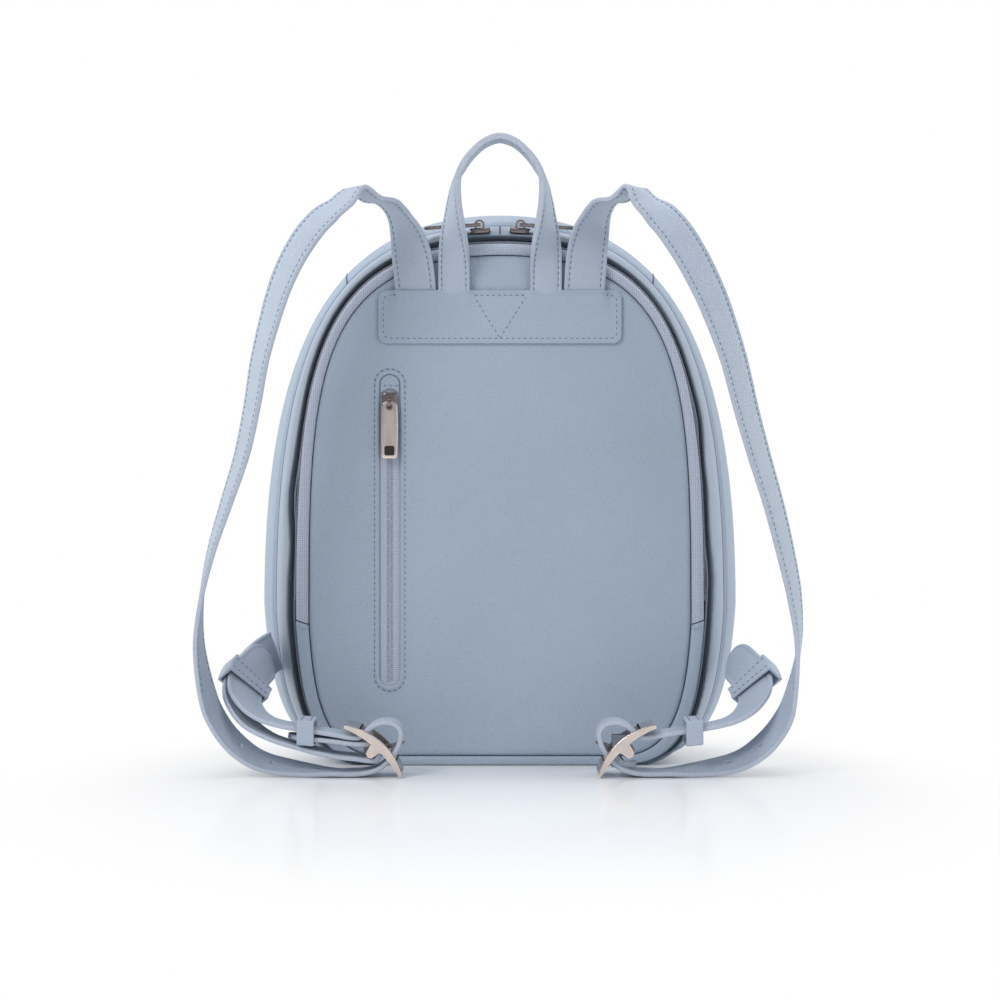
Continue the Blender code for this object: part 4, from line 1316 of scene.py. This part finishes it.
def body(leather_material, shaded, seam):
    rows = spline(GUSSET_SHOWN, ROW_STEPS)
    gusset = shell("gusset_shell", [dented_ring(*row) for row in rows], shaded)
    settle(gusset, "bag", "leather", "gusset")
    rows = spline(RIM_SHOWN, ROW_STEPS)
    rim = shell("rim_shell", [ring_points(*row) for row in rows], leather_material)
    settle(rim, "bag", "leather", "rim_band")
    rings = [ring_points(*row) for row in spline(FRONT_SHOWN, ROW_STEPS)]
    middle = Vector((0, 0, (RIM_TOP - PANEL_SOLE) / 2))
    edge = rings[-1]
    last = FRONT_SHOWN[-1][0]
    for share, size in spline(((last, 1.0), *FRONT_DOME), DOME_STEPS)[1:]:
        ring = []
        for point in edge:
            inside = middle + (point - middle) * size
            inside.y = depth_at(share)
            ring.append(inside)
        rings.append(ring)
    front = shell("front_shell", rings, leather_material, cap=True)
    settle(front, "bag", "leather", "front_panel")
    cross_seams(seam)


def surface_line(rows, place):
    """Points of the body's surface along its rows at one step of the outline."""
    out = []
    for share, flare, *_ in rows:
        x, z = outline_point(flare, place)
        out.append(Vector((x, depth_at(share), z)))
    return out


def tube(name, points, radius, finish_material):
    """A thin round line through the points."""
    sections = []
    for index, point in enumerate(points):
        tangent = points[min(index + 1, len(points) - 1)] - points[max(index - 1, 0)]
        tangent.normalize()
        across = tangent.orthogonal().normalized()
        if sections:
            across = (last - last.dot(tangent) * tangent).normalized()
        last = across
        up = across.cross(tangent)
        sections.append(circle(point, across, up, radius, STITCH_SIDES))
    return loft(name, sections, finish_material, angle=60)


def cross_seams(seam):
    """Dark lines of painted shadow along the short seams over the rim and the gusset, where their strips
    are joined, and the one between them.
    """
    rim = spline(RIM_SHOWN[1:-1], SEAM_STEPS)
    gusset = spline(GUSSET_SHOWN[FOLD_ROW:-1], SEAM_STEPS)
    ring = ring_points(*RIM_SEAM)
    lines = (
        ("rim_seam_left", surface_line(rim, RING_STEPS - SIDE_SEAM)),
        ("rim_seam_right", surface_line(rim, SIDE_SEAM)),
        ("gusset_seam", surface_line(gusset, HALF_STEPS)),
        ("rim_seam", [*ring, ring[0]]),
    )
    for name, line in lines:
        settle(tube(name, line, SEAM_RADIUS, seam), "bag", "leather")


def strip(name, start, end, thick, crown, finish_material, edge=TAPE_SHOWN):
    """A strip in the groove round the panel, with a rounded face."""
    steps = max(4, math.ceil(end - start) * 2)
    front = depth_at(GUSSET_RINGS[0][0]) - GAP - thick
    sections = []
    for step in range(steps + 1):
        place = mix(start, end, step / steps)
        inner = Vector((*outline_point(SEAM_GAP, place), 0))
        outer = Vector((*outline_point(edge, place), 0))
        ring = []
        for share, rise in STRIP_SECTION:
            flat = inner.lerp(outer, share)
            ring.append(Vector((flat.x, front - rise * crown, flat.y)))
        for share in (1.0, 0.0):
            flat = inner.lerp(outer, share)
            ring.append(Vector((flat.x, front + thick, flat.y)))
        sections.append(ring)
    return loft(name, sections, finish_material, angle=50)


def groove(woven, leather_material, coil):
    """Tape, its end tabs with their lips, the strip at the base and the coil in the groove."""
    low = BASE_STEPS
    high = BASE_STEPS + CORNER_STEPS
    ends = (high + TAB_APART, RING_STEPS - high - TAB_APART)
    tape = strip("zip_tape", *ends, TAPE_THICK, TAPE_CROWN, woven)
    settle(tape, "bag", "zip_tape", "main_zip_tape")
    spans = ((low + TAB_APART, high - TAB_APART), (high - LIP_STEP, high))
    for side in ("right", "left"):
        if side == "left":
            spans = [(RING_STEPS - end, RING_STEPS - start) for start, end in spans]
        tab = strip(f"end_tab_{side}", *spans[0], TAB_THICK, TAB_CROWN, leather_material)
        settle(tab, "bag", "leather", f"zip_end_tab_{side}")
        lip = strip(f"end_tab_lip_{side}", *spans[1], TAB_THICK, LIP_CROWN, leather_material)
        settle(lip, "bag", "leather")
    edge = TAPE_FLARE - SEAM_GAP / 2
    ends = (TAB_APART - low, low - TAB_APART)
    base = strip("base_strip_shown", *ends, TAB_THICK, TAB_CROWN, leather_material, edge)
    settle(base, "bag", "leather", "base_strip")
    teeth_ring(coil, high + 1, RING_STEPS - high - 1)


def teeth_ring(coil, start, end):
    """The zip's coil, which stands in the groove at the tape's outer edge."""
    run = []
    steps = int(end - start) * 3
    depth = depth_at(GUSSET_RINGS[0][0]) + COIL_SINK
    for step in range(steps + 1):
        x, z = outline_point(COIL_FLARE, mix(start, end, step / steps))
        run.append((Vector((x, depth, z)), BACKWARD))
    sewn("zip_coil", [run], coil, "zip_tape", COIL_PITCH, COIL_PITCH * 0.9, COIL_BEAD)


def crown(x, z):
    """How far the padded panel stands proud at a place of its face."""
    beside = SLOT_LOW - CROWN_MARGIN < z < SLOT_HIGH + CROWN_MARGIN
    away = min(abs(x - SLOT_X) / CROWN_SLOT, 1.0) if beside else 1.0
    side = 1 - (abs(x) / PANEL_HALF) ** 3
    rise = smooth_step(PANEL_SOLE, CROWN_LOW, z)
    rise *= 1 - smooth_step(CROWN_HIGH, YOKE_LOW - CROWN_UNDER, z)
    return PANEL_CROWN * max(0.0, side) * rise * smooth_step(0.25, 1.0, away)


def back_panel(leather_material):
    """The padded panel with its rounded edge, the pocket's slot and a soft crown."""
    face = -BACK_DEPTH
    rows = [(PANEL_THICK, PAD_FOOT)]
    rows += [(PANEL_EDGE * behind, inset) for behind, inset in PAD_EDGE]
    sections = [upright(outline(0.0, inset * PANEL_EDGE), face + behind) for behind, inset in rows]
    made = loft("panel_pad", sections, leather_material, angle=80)
    cut(made, plate("slot_cutter", slot_path(0.0), face - PANEL_THICK, face + SLOT_DEPTH, leather_material))
    grid_cut(made, PANEL_PITCH)
    for vertex in made.data.vertices:
        if vertex.co.y < face + CROWN_SKIN:
            vertex.co.y -= crown(vertex.co.x, vertex.co.z)
    smooth(made.data, angle=50)
    settle(made, "bag", "leather", "back_panel")


def slot_path(outward):
    """The slot's outline, moved outward."""
    half = SLOT_WIDTH / 2 + outward
    low = SLOT_LOW - outward
    high = SLOT_HIGH + outward
    return rounded(SLOT_X - half, SLOT_X + half, low, high, half * SLOT_ROUND, SLOT_STEPS)


def denser(shape, pitch):
    """The same closed outline with more points on its straight stretches."""
    out = []
    for (x0, z0), (x1, z1) in zip(shape, [*shape[1:], shape[0]], strict=True):
        parts = max(1, int(math.hypot(x1 - x0, z1 - z0) / pitch))
        out += [(mix(x0, x1, part / parts), mix(z0, z1, part / parts)) for part in range(parts)]
    return out


def pocket(woven, leather_material, thread, coil):
    """The slot's stitched lip, the zip's tape and coil in it, and the flap over its top end."""
    face = -BACK_DEPTH
    sections = [upright(slot_path(outward), face - rise) for outward, rise in WELT_SECTION]
    welt = loft("slot_welt", sections, leather_material, angle=60, ring=True)
    settle(welt, "bag", "leather")
    floor = face + SLOT_DEPTH
    tape = plate("pocket_tape", slot_path(-GAP), floor - GAP - TAPE_THICK, floor - GAP, woven)
    settle(tape, "bag", "zip_tape", "pocket_zip_tape")
    flap(leather_material, thread)
    outer = denser(slot_path(WELT_STITCH), RUN_PITCH)
    run = [(point, BACKWARD) for point in upright([*outer, outer[0]], face - WELT_SINK)]
    sewn("slot_stitches", [run], thread, "leather")
    low = SLOT_LOW + COIL_START
    top = SLOT_HIGH - FLAP_LENGTH - SLIDER_LENGTH
    level = Vector((1, 0, 0))
    points = []
    faces = []
    for number in range(int((top - low) / COIL_PITCH)):
        for side in (-1, 1):
            z = low + (number + 0.25 * side) * COIL_PITCH
            middle = Vector((SLOT_X + side * COIL_HALF, floor - GAP - TAPE_THICK, z))
            stitch(points, faces, middle, level, BACKWARD, COIL_LENGTH, COIL_RADIUS)
    made = closed_body("pocket_coil", points, faces, coil, angle=60)
    settle(made, "bag", "zip_tape")


def flap(leather_material, thread):
    """The leather flap over the zip's top end, with a curved notch for the slider."""
    half = SLOT_WIDTH / 2 - 2 * GAP
    low = SLOT_HIGH - FLAP_LENGTH
    high = SLOT_HIGH - 2 * GAP
    top = rounded(SLOT_X - half, SLOT_X + half, low, high, half * SLOT_ROUND, SLOT_STEPS)
    shape = top[: len(top) // 2]
    for step in range(FLAP_STEPS + 1):
        share = step / FLAP_STEPS
        rise = FLAP_NOTCH * (math.sin(math.pi * share) - FLAP_DIP)
        shape.append((SLOT_X - half + 2 * half * share, low + rise))
    y = -BACK_DEPTH
    made = plate("zip_flap", shape, y - FLAP_PROUD, y + FLAP_THICK, leather_material)
    soften(made, FLAP_ROUND)
    settle(made, "bag", "leather", "pocket_zip_flap")
    ends = [(SLOT_X + side * half * FLAP_RUN, low + FLAP_STITCH) for side in (-1, 1)]
    run = [(point, BACKWARD) for point in upright(ends, y)]
    sewn("flap_stitches", [run], thread, "leather")


def yoke_bulge(x, z):
    """How far the patch lies over the strap and handle ends under it."""
    near = 0.0
    for place, width in ((STRAP_ROOT, STRAP_WIDTH), (HANDLE_ROOT, HANDLE_WIDTH)):
        start, end = (width / 2 + past for past in BULGE_EDGE)
        near = max(near, 1 - smooth_step(start, end, abs(abs(x) - place)))
    low, high = (YOKE_HIGH - under for under in BULGE_UNDER)
    return STRAP_THICK * BULGE_SHARE * near * smooth_step(low, high, z)


def yoke_run(points):
    """Places on the yoke's bulged face, for stitches."""
    front = -BACK_DEPTH - GAP / 3 - YOKE_THICK + YOKE_SINK
    return [(Vector((x, front - yoke_bulge(x, z), z)), BACKWARD) for x, z in points]


def yoke(leather_material, thread):
    """The patch over the strap and handle ends, stitched round three sides and in a triangle."""
    shape = rounded(-YOKE_HALF, YOKE_HALF, YOKE_LOW, YOKE_HIGH, YOKE_CORNER, 8)
    shape = denser(shape, YOKE_EDGE_PITCH)
    y = -BACK_DEPTH - GAP / 3
    made = plate("yoke_patch", shape, y - YOKE_THICK, y, leather_material)
    soften(made, YOKE_ROUND)
    applied(made)
    grid_cut(made, YOKE_PITCH)
    for vertex in made.data.vertices:
        vertex.co.y -= yoke_bulge(vertex.co.x, vertex.co.z)
    smooth(made.data, angle=60)
    settle(made, "bag", "leather", "yoke")
    half = YOKE_HALF - YOKE_STITCH
    low = YOKE_LOW + YOKE_STITCH
    high = YOKE_HIGH - YOKE_STITCH
    path = denser(rounded(-half, half, low, high, YOKE_CORNER * 0.7, 6), RUN_PITCH)
    keep = [(x, z) for x, z in path if abs(x) >= YOKE_HALF - YOKE_OPEN or z <= high - GAP]
    first = max(range(len(keep)), key=lambda k: math.dist(keep[k], keep[k - 1]))
    runs = [yoke_run(keep[first:] + keep[:first])]
    corners = ((-YOKE_TRI, high), (YOKE_TRI, high), (0.0, low), (-YOKE_TRI, high))
    for (x0, z0), (x1, z1) in zip(corners, corners[1:], strict=False):
        shares = [step / LINE_STEPS for step in range(LINE_STEPS + 1)]
        runs.append(yoke_run([(mix(x0, x1, share), mix(z0, z1, share)) for share in shares]))
    sewn("yoke_stitches", runs, thread, "leather")


def handle_frames():
    base = YOKE_HIGH + GAP
    lay = -BACK_DEPTH - GAP - HANDLE_THICK / 2
    rows = []
    for out, ahead, up, yaw in HANDLE_STATIONS:
        rows.append((-out * HANDLE_ROOT, lay - ahead * HANDLE_REACH, base + up * HANDLE_RISE, yaw, 0))
    for out, ahead, up, yaw in reversed(HANDLE_STATIONS[:-1]):
        rows.append((out * HANDLE_ROOT, lay - ahead * HANDLE_REACH, base + up * HANDLE_RISE, 180 - yaw, 0))
    rows.insert(0, (rows[0][0], rows[0][1] + ROOT_SINK, base - ROOT_TUCK, 0, 0))
    rows.append((rows[-1][0], rows[-1][1] + ROOT_SINK, base - ROOT_TUCK, 180, 0))
    return path_frames(spline(rows, FINE_STEPS))


def handle(face, edge, thread):
    frames = handle_frames()
    made = ribbon("handle_strap", frames, HANDLE_WIDTH, HANDLE_THICK, face, edge, -1)
    settle(made, "bag", "strap_leather", "handle")
    strap_stitches("handle_stitches", frames, HANDLE_WIDTH, HANDLE_THICK, -1, thread)


def shoulder(side, sign, frames, face, edge, thread):
    made = ribbon(f"shoulder_{side}", frames, STRAP_WIDTH, STRAP_THICK, face, edge, sign, tip=True)
    tip = nearest(frames, buckle_share(*PRONG_HOLE))
    cut(made, hole_cutter("prong_hole", tip, PRONG_WIDTH / 2 + 3 * GAP, edge, sign))
    for number in range(1, HOLES + 1):
        place = nearest(frames, buckle_point(-number * HOLE_PITCH, HOLE_LEVEL * BUCKLE_LENGTH))
        cut(made, hole_cutter("hole", place, HOLE_RADIUS, edge, sign))
    settle(made, "bag", "strap_leather", f"shoulder_strap_{side}")
    stop = (len(SHOULDER_STATIONS) - UNSEWN) * FINE_STEPS
    strap_stitches(f"shoulder_stitches_{side}", frames, STRAP_WIDTH, STRAP_THICK, sign, thread, 0, stop)


def anchor(side, sign, face, edge):
    made = ribbon(f"anchor_{side}", anchor_frames(), STRAP_WIDTH, STRAP_THICK, face, edge, sign, tip=True)
    pin = pin_place()
    reach = PIN_RADIUS + PRONG_THICK + 2 * STRAP_THICK
    half = PRONG_WIDTH / 2 + 2 * GAP
    eye = PIN_RADIUS + PRONG_EYE * PRONG_THICK + 3 * GAP
    corners = []
    for z in (pin.z - reach, pin.z + reach):
        corners += [
            Vector((pin.x - eye, pin.y - half, z)),
            Vector((pin.x + reach, pin.y - half, z)),
            Vector((pin.x + reach, pin.y + half, z)),
            Vector((pin.x - eye, pin.y + half, z)),
        ]
    cut(made, block("prong_slot", corners, edge, sign))
    settle(made, "bag", "strap_leather", f"anchor_strap_{side}")


def keeper(name, frames, low, high, face, thread, sign, node_name):
    """A keeper with soft edges and two stitched lines across each broad side."""
    made = sleeve(name, frames, low, high, face, sign)
    soften(made, KEEPER_ROUND, segments=4, angle=28)
    settle(made, "bag", "strap_leather", node_name)
    half = STRAP_WIDTH / 2 + KEEPER_PLAY
    runs = []
    for share in KEEPER_LINES:
        spot = share * (len(frames) - 1)
        index = min(int(spot), len(frames) - 2)
        part = spot - index
        point = frames[index][0].lerp(frames[index + 1][0], part)
        _, _, across, normal = frames[index]
        for lift, up in ((high + KEEPER_WALL, 1), (low - KEEPER_WALL, -1)):
            line = []
            for step in range(LINE_STEPS + 1):
                place = point + across * mix(-half, half, step / LINE_STEPS) + normal * lift
                place, shown = mirrored([place, normal * up], sign)
                line.append((place, shown))
            runs.append(line)
    sewn(f"{name}_stitches", runs, thread, "strap_leather")


def keepers(side, sign, face, thread):
    frames = anchor_frames()
    middle = KEEPER_STATION * FINE_STEPS
    picked = [frames[middle]]
    step = 1
    while (picked[-1][0] - picked[0][0]).length < KEEPER_LENGTH:
        picked = [frames[middle - step], *picked, frames[middle + step]]
        step += 1
    low = -STRAP_THICK / 2 - 2 * GAP
    high = (TAIL_KEEPER_LIFT + 0.5) * STRAP_THICK + 2 * GAP
    keeper(f"upper_keeper_{side}", picked, low, high, face, thread, sign, f"keeper_upper_{side}")
    straight = []
    for inward, up in LOWER_KEEPER:
        place = buckle_share(inward, up)
        straight.append((place, Vector((1, 0, 0)), Vector((0, -1, 0)), Vector((0, 0, 1))))
    high = LOWER_KEEPER_HEIGHT * STRAP_THICK
    keeper(f"lower_keeper_{side}", straight, low, high, face, thread, sign, f"keeper_lower_{side}")


def buckle(side, sign, metal, dark):
    pin = pin_place()
    near = pin.y - BUCKLE_WIDTH / 2
    far = pin.y + BUCKLE_WIDTH / 2
    sections = []
    for y in (near, far):
        profile = [chord_point(along, out, y) for along, out in buckle_profile(PROFILE_STEPS)]
        sections.append(mirrored(profile, sign))
    made = loft(f"buckle_{side}", sections, metal)
    inside = BUCKLE_LENGTH / 2 - BUCKLE_BAR
    corners = []
    for along in (-inside, inside):
        for out, y in ((-1, near), (-1, far), (1, far), (1, near)):
            edge = y + math.copysign(BUCKLE_RAIL, pin.y - y)
            corners.append(chord_point(along, out * BUCKLE_CUT, edge))
    cut(made, block("buckle_opening", corners, metal, sign))
    soften(made, METAL_ROUND, angle=40)
    settle(made, "bag", "metal", f"buckle_frame_{side}")
    turned = []
    low = near + BUCKLE_RAIL
    high = far - BUCKLE_RAIL
    across, up = Vector((1, 0, 0)), Vector((0, 0, 1))
    ends = ((low + GAP, PIN_END), (low + 3 * GAP, 1.0), (high - 3 * GAP, 1.0), (high - GAP, PIN_END))
    for y, size in ends:
        ring = circle(Vector((pin.x, y, pin.z)), across, up, PIN_RADIUS * size, PIN_STEPS)
        turned.append(mirrored(ring, sign))
    settle(loft(f"pin_{side}", turned, dark), "bag", "metal", f"buckle_pin_{side}")
    settle(prong(side, sign, dark), "bag", "metal", f"buckle_prong_{side}")


def prong(side, sign, metal):
    """Prong with an open eye round the pin, lying through the strap's hole."""
    pin = pin_place()
    inner = PIN_RADIUS + GAP
    outer = inner + PRONG_THICK * PRONG_EYE
    half = PRONG_THICK / 2
    tilt = math.degrees(math.atan2(*reversed(PRONG_HOLE)))
    first = math.degrees(math.asin(half / outer))
    last = math.degrees(math.asin(half / inner))
    steps = [step / ROUND_STEPS for step in range(ROUND_STEPS + 1)]
    shape = [polar(outer, tilt + mix(first, PRONG_TURN, step)) for step in steps]
    shape += [polar(inner, tilt + mix(PRONG_TURN, -last, step)) for step in steps]
    for along, lift in PRONG_TIP:
        x, z = polar(along * PRONG_LENGTH, tilt)
        dx, dz = polar(lift * half, tilt + 90)
        shape.append((x + dx, z + dz))
    sections = []
    for y in (-PRONG_WIDTH / 2, PRONG_WIDTH / 2):
        sections.append(mirrored([pin + Vector((x, y, z)) for x, z in shape], sign))
    return soften(loft(f"prong_{side}", sections, metal), METAL_ROUND, angle=40)


def pull_shape():
    """Outline of a pull, as a smooth curve through a few rows, mirrored."""
    rows = spline(PULL_ROWS, ROW_STEPS)
    shape = [(PULL_WIDTH / 2 * share, PULL_THICK / 2 - down) for share, down in rows]
    return shape + [(-x, z) for x, z in reversed(shape)]


def drawn_in(x, z, inset):
    """A point of the pull's outline, moved inward."""
    half = PULL_LENGTH / 2
    away = z + half
    return x * (1 - 2 * inset / PULL_WIDTH), z - math.copysign(inset, away) * min(1, abs(away) / half)


def through(name, shape, low, high, place, turn, metal):
    """An outline extruded along y in the pull's own frame."""
    return loft(name, [placed(upright(shape, y), place, turn) for y in (low, high)], metal)


def slider(name, place, turn, dark):
    """Slider with its bridge."""
    base = PIVOT_LIFT + SLIDER_THICK
    half = SLIDER_WIDTH / 2
    sections = []
    for z, wide, drop in spline(SLIDER_ROWS, ROW_STEPS):
        side = [(x, PIVOT_LIFT + drop + lower) for x, lower in SLIDER_FACE]
        shape = [(-1, base), (1, base), *reversed(side), *[(-x, y) for x, y in side]]
        ring = [Vector((half * wide * x, y, z * SLIDER_LENGTH)) for x, y in shape]
        sections.append(placed(ring, place, turn))
    made = loft(f"{name}_slider_shown", sections, dark)
    inner, outer = bridge_radii()
    wide = BRIDGE_WIRE * BRIDGE_HALF
    root = PIVOT_LIFT + SLIDER_THICK * BRIDGE_ROOT
    arc = [math.pi * step / ARC_STEPS for step in range(ARC_STEPS + 1)]
    profile = [(root, outer)] + [(-outer * math.sin(a), outer * math.cos(a)) for a in arc]
    profile += [(root, -outer), (root, -inner)]
    profile += [(-inner * math.sin(a), -inner * math.cos(a)) for a in arc] + [(root, inner)]
    sections = [placed([Vector((x, y, z)) for y, z in profile], place, turn) for x in (-wide, wide)]
    cut(made, loft("bridge", sections, dark), "UNION")
    soften(made, SLIDER_ROUND, segments=2, angle=40)
    settle(made, "bag", "metal", f"{name}_slider")


def bridge_radii():
    """Inner and outer radius of a slider's bridge, clear of the pull that turns in it."""
    inner = PULL_THICK * 0.5 * math.sqrt(2) + BRIDGE_PLAY
    return inner, inner + BRIDGE_WIRE


def zip_pull(name, place, turn, metal, dark, window_shade):
    """Slider and pull, in the pull's own frame: pivot along x, pull toward -z, face toward -y."""
    slider(name, place, turn, dark)
    thick = PULL_THICK / 2
    near = [(depth - thick, inset) for depth, inset in PULL_EDGE]
    sections = []
    for y, inset in near + [(-y, inset) for y, inset in reversed(near)]:
        ring = upright([drawn_in(x, z, inset) for x, z in pull_shape()], y)
        sections.append(placed(ring, place, turn))
    pull = loft(f"{name}_pull_shown", sections, metal, angle=50)
    hole = -sum(bridge_radii()) / 2
    radius = BRIDGE_WIRE / 2 + PULL_PLAY
    turns = (polar(radius, 360 * step / EYE_STEPS) for step in range(EYE_STEPS))
    ring = [(x, hole + z) for x, z in turns]
    low = thick - PULL_LENGTH + WINDOW_SILL
    high = low + WINDOW_HEIGHT
    half = WINDOW_WIDTH / 2
    window = rounded(-half, half, low, high, WINDOW_WIDTH * WINDOW_ROUND, 5)
    wide = PULL_WIDTH * BED_HALF
    bed = rounded(-wide, wide, high + BED_GAP, BED_TOP, BED_ROUND)
    for cutter, shape, end in (
        ("hole", ring, PULL_THICK),
        ("window", window, PULL_THICK),
        ("bed", bed, BED_DEPTH - thick),
    ):
        cut(pull, through(cutter, shape, -PULL_THICK, end, place, turn, metal))
    smooth(pull.data, angle=30)
    settle(pull, f"{name}_pull", "metal", f"{name}_pull")
    # A black pane of painted shade fills the window, where the tape behind lies in shade.
    near, far = (share * thick for share in PANE_DEPTHS)
    pane = through(f"{name}_pull_window", window, near, far, place, turn, window_shade)
    settle(pane, f"{name}_pull", "metal")


def zip_pulls(metal, dark, window_shade):
    base = -BACK_DEPTH + SLOT_DEPTH - 2 * GAP - TAPE_THICK
    height = SLOT_HIGH - FLAP_LENGTH - SLIDER_LENGTH / 2 - 3 * GAP
    pivot = Vector((SLOT_X, base - SLIDER_THICK - PIVOT_LIFT, height))
    zip_pull("pocket", pivot, Matrix.Identity(3), metal, dark, window_shade)
    slope = math.radians(MAIN_SLOPE)
    out = Vector((0, -math.sin(slope), math.cos(slope)))
    lift = SLIDER_THICK + PIVOT_LIFT + GAP
    for side, sign in (("left", -1), ("right", 1)):
        sag = math.radians(MAIN_SAG)
        rest = Vector((sign * math.cos(sag), 0, 0)) - out * math.sin(sag)
        face = out * math.cos(sag) + Vector((sign * math.sin(sag), 0, 0))
        turn = Matrix((rest.cross(face), -face, -rest)).transposed()
        seat = Vector((sign * MAIN_PULL_X, *main_seat()))
        zip_pull(f"main_{side}", seat + face * lift, turn, dark, dark, window_shade)


def camera():
    """The photograph's view: level, from behind the bag, with the horizon a little above the middle."""
    data = bpy.data.cameras.new("camera")
    data.lens = CAMERA_LENS
    data.sensor_width = CAMERA_SENSOR
    data.shift_y = CAMERA_SHIFT
    made = linked("camera", data)
    made.location = CAMERA_PLACE
    made.rotation_euler = (math.radians(90), 0, 0)
    bpy.context.scene.camera = made


def light(name, place, aim, size, power, colour):
    data = bpy.data.lights.new(name, "AREA")
    data.shape = "RECTANGLE"
    data.size, data.size_y = size
    data.energy = power
    data.color = colour
    made = linked(name, data)
    made.location = place
    made.rotation_euler = (Vector(aim) - Vector(place)).to_track_quat("-Z", "Y").to_euler()


def floor():
    """Pale glossy floor that fades into the white background away from the bag."""
    mesh = bpy.data.meshes.new("floor")
    shape = bmesh.new()
    bmesh.ops.create_grid(shape, x_segments=FLOOR_CELLS, y_segments=FLOOR_CELLS, size=FLOOR_HALF)
    shape.to_mesh(mesh)
    shape.free()
    made = linked("floor", mesh)
    finish_material, tree, shader, where = base_material("pale_floor", FLOOR_ROUGHNESS)
    shader.inputs["Base Color"].default_value = (*FLOOR_COLOUR, 1)
    shader.inputs["Specular IOR Level"].default_value = 0.5
    glow = node(tree, "ShaderNodeEmission", Color=(1, 1, 1, 1), Strength=1.0)
    away = tree.nodes.new("ShaderNodeVectorMath")
    away.operation = "MULTIPLY_ADD"
    away.inputs[1].default_value = FLOOR_STRETCH
    away.inputs[2].default_value = FLOOR_SHIFT
    tree.links.new(where, away.inputs[0])
    reach = tree.nodes.new("ShaderNodeVectorMath")
    reach.operation = "LENGTH"
    tree.links.new(away.outputs["Vector"], reach.inputs[0])
    share = smooth_range(tree, reach.outputs["Value"], FLOOR_NEAR, FLOOR_FAR)
    blend = tree.nodes.new("ShaderNodeMixShader")
    tree.links.new(share.outputs["Result"], blend.inputs["Fac"])
    tree.links.new(shader.outputs["BSDF"], blend.inputs[1])
    tree.links.new(glow.outputs["Emission"], blend.inputs[2])
    tree.links.new(blend.outputs["Shader"], tree.nodes["Material Output"].inputs["Surface"])
    mesh.materials.append(finish_material)


def surroundings():
    """White studio: white to the camera, and a softer white as light."""
    world = bpy.data.worlds.new("studio")
    bpy.context.scene.world = world
    world.use_nodes = True
    tree = world.node_tree
    shown = tree.nodes["Background"]
    shown.inputs["Color"].default_value = (1, 1, 1, 1)
    lit = tree.nodes.new("ShaderNodeBackground")
    lit.inputs["Color"].default_value = (*WORLD_COLOUR, 1)
    lit.inputs["Strength"].default_value = WORLD_LIGHT
    path = tree.nodes.new("ShaderNodeLightPath")
    mixed = tree.nodes.new("ShaderNodeMixShader")
    tree.links.new(path.outputs["Is Camera Ray"], mixed.inputs["Fac"])
    tree.links.new(lit.outputs["Background"], mixed.inputs[1])
    tree.links.new(shown.outputs["Background"], mixed.inputs[2])
    tree.links.new(mixed.outputs["Shader"], tree.nodes["World Output"].inputs["Surface"])
    for row in LIGHTS:
        light(*row)
    bpy.context.scene.view_settings.view_transform = "Standard"


def main():
    panel = leather("panel_leather", PANEL_BLUE)
    rim = leather("rim_leather", RIM_BLUE)
    strap = leather("strap_leather", STRAP_BLUE, depth=0.00012)
    edge = plain("cut_edge", EDGE_TONE, roughness=0.62)
    thread = plain("thread", THREAD_BLUE, roughness=0.75, grain=4000.0, depth=0.00003)
    seam = plain("seam_shadow", SEAM_BLUE, roughness=0.8)
    woven = textile("woven_tape", TAPE_TONE)
    coil = plain("coil", COIL_TONE, roughness=0.45)
    metal = polished("champagne_metal", METAL_TONE, roughness=0.20)
    dark = polished("dark_nickel", DARK_TONE, roughness=0.24)
    # Black of painted shade for the pulls' windows.
    window_shade = plain("painted_window_shade", WINDOW_SHADE_TONE, roughness=0.35)
    camera()
    surroundings()
    floor()
    # The gusset's leather carries painted shade toward the fold beside the zip.
    body(rim, valley_shade(leather("gusset_leather_painted_shade", RIM_BLUE)), seam)
    back_panel(panel)
    groove(woven, rim, coil)
    yoke(panel, thread)
    handle(strap, edge, thread)
    pocket(woven, panel, thread, coil)
    for side, sign, turn, draw in SIDES:
        shoulder(side, sign, shoulder_frames(turn, draw), strap, edge, thread)
        anchor(side, sign, strap, edge)
        keepers(side, sign, strap, thread)
        buckle(side, sign, metal, dark)
    zip_pulls(metal, dark, window_shade)


main()
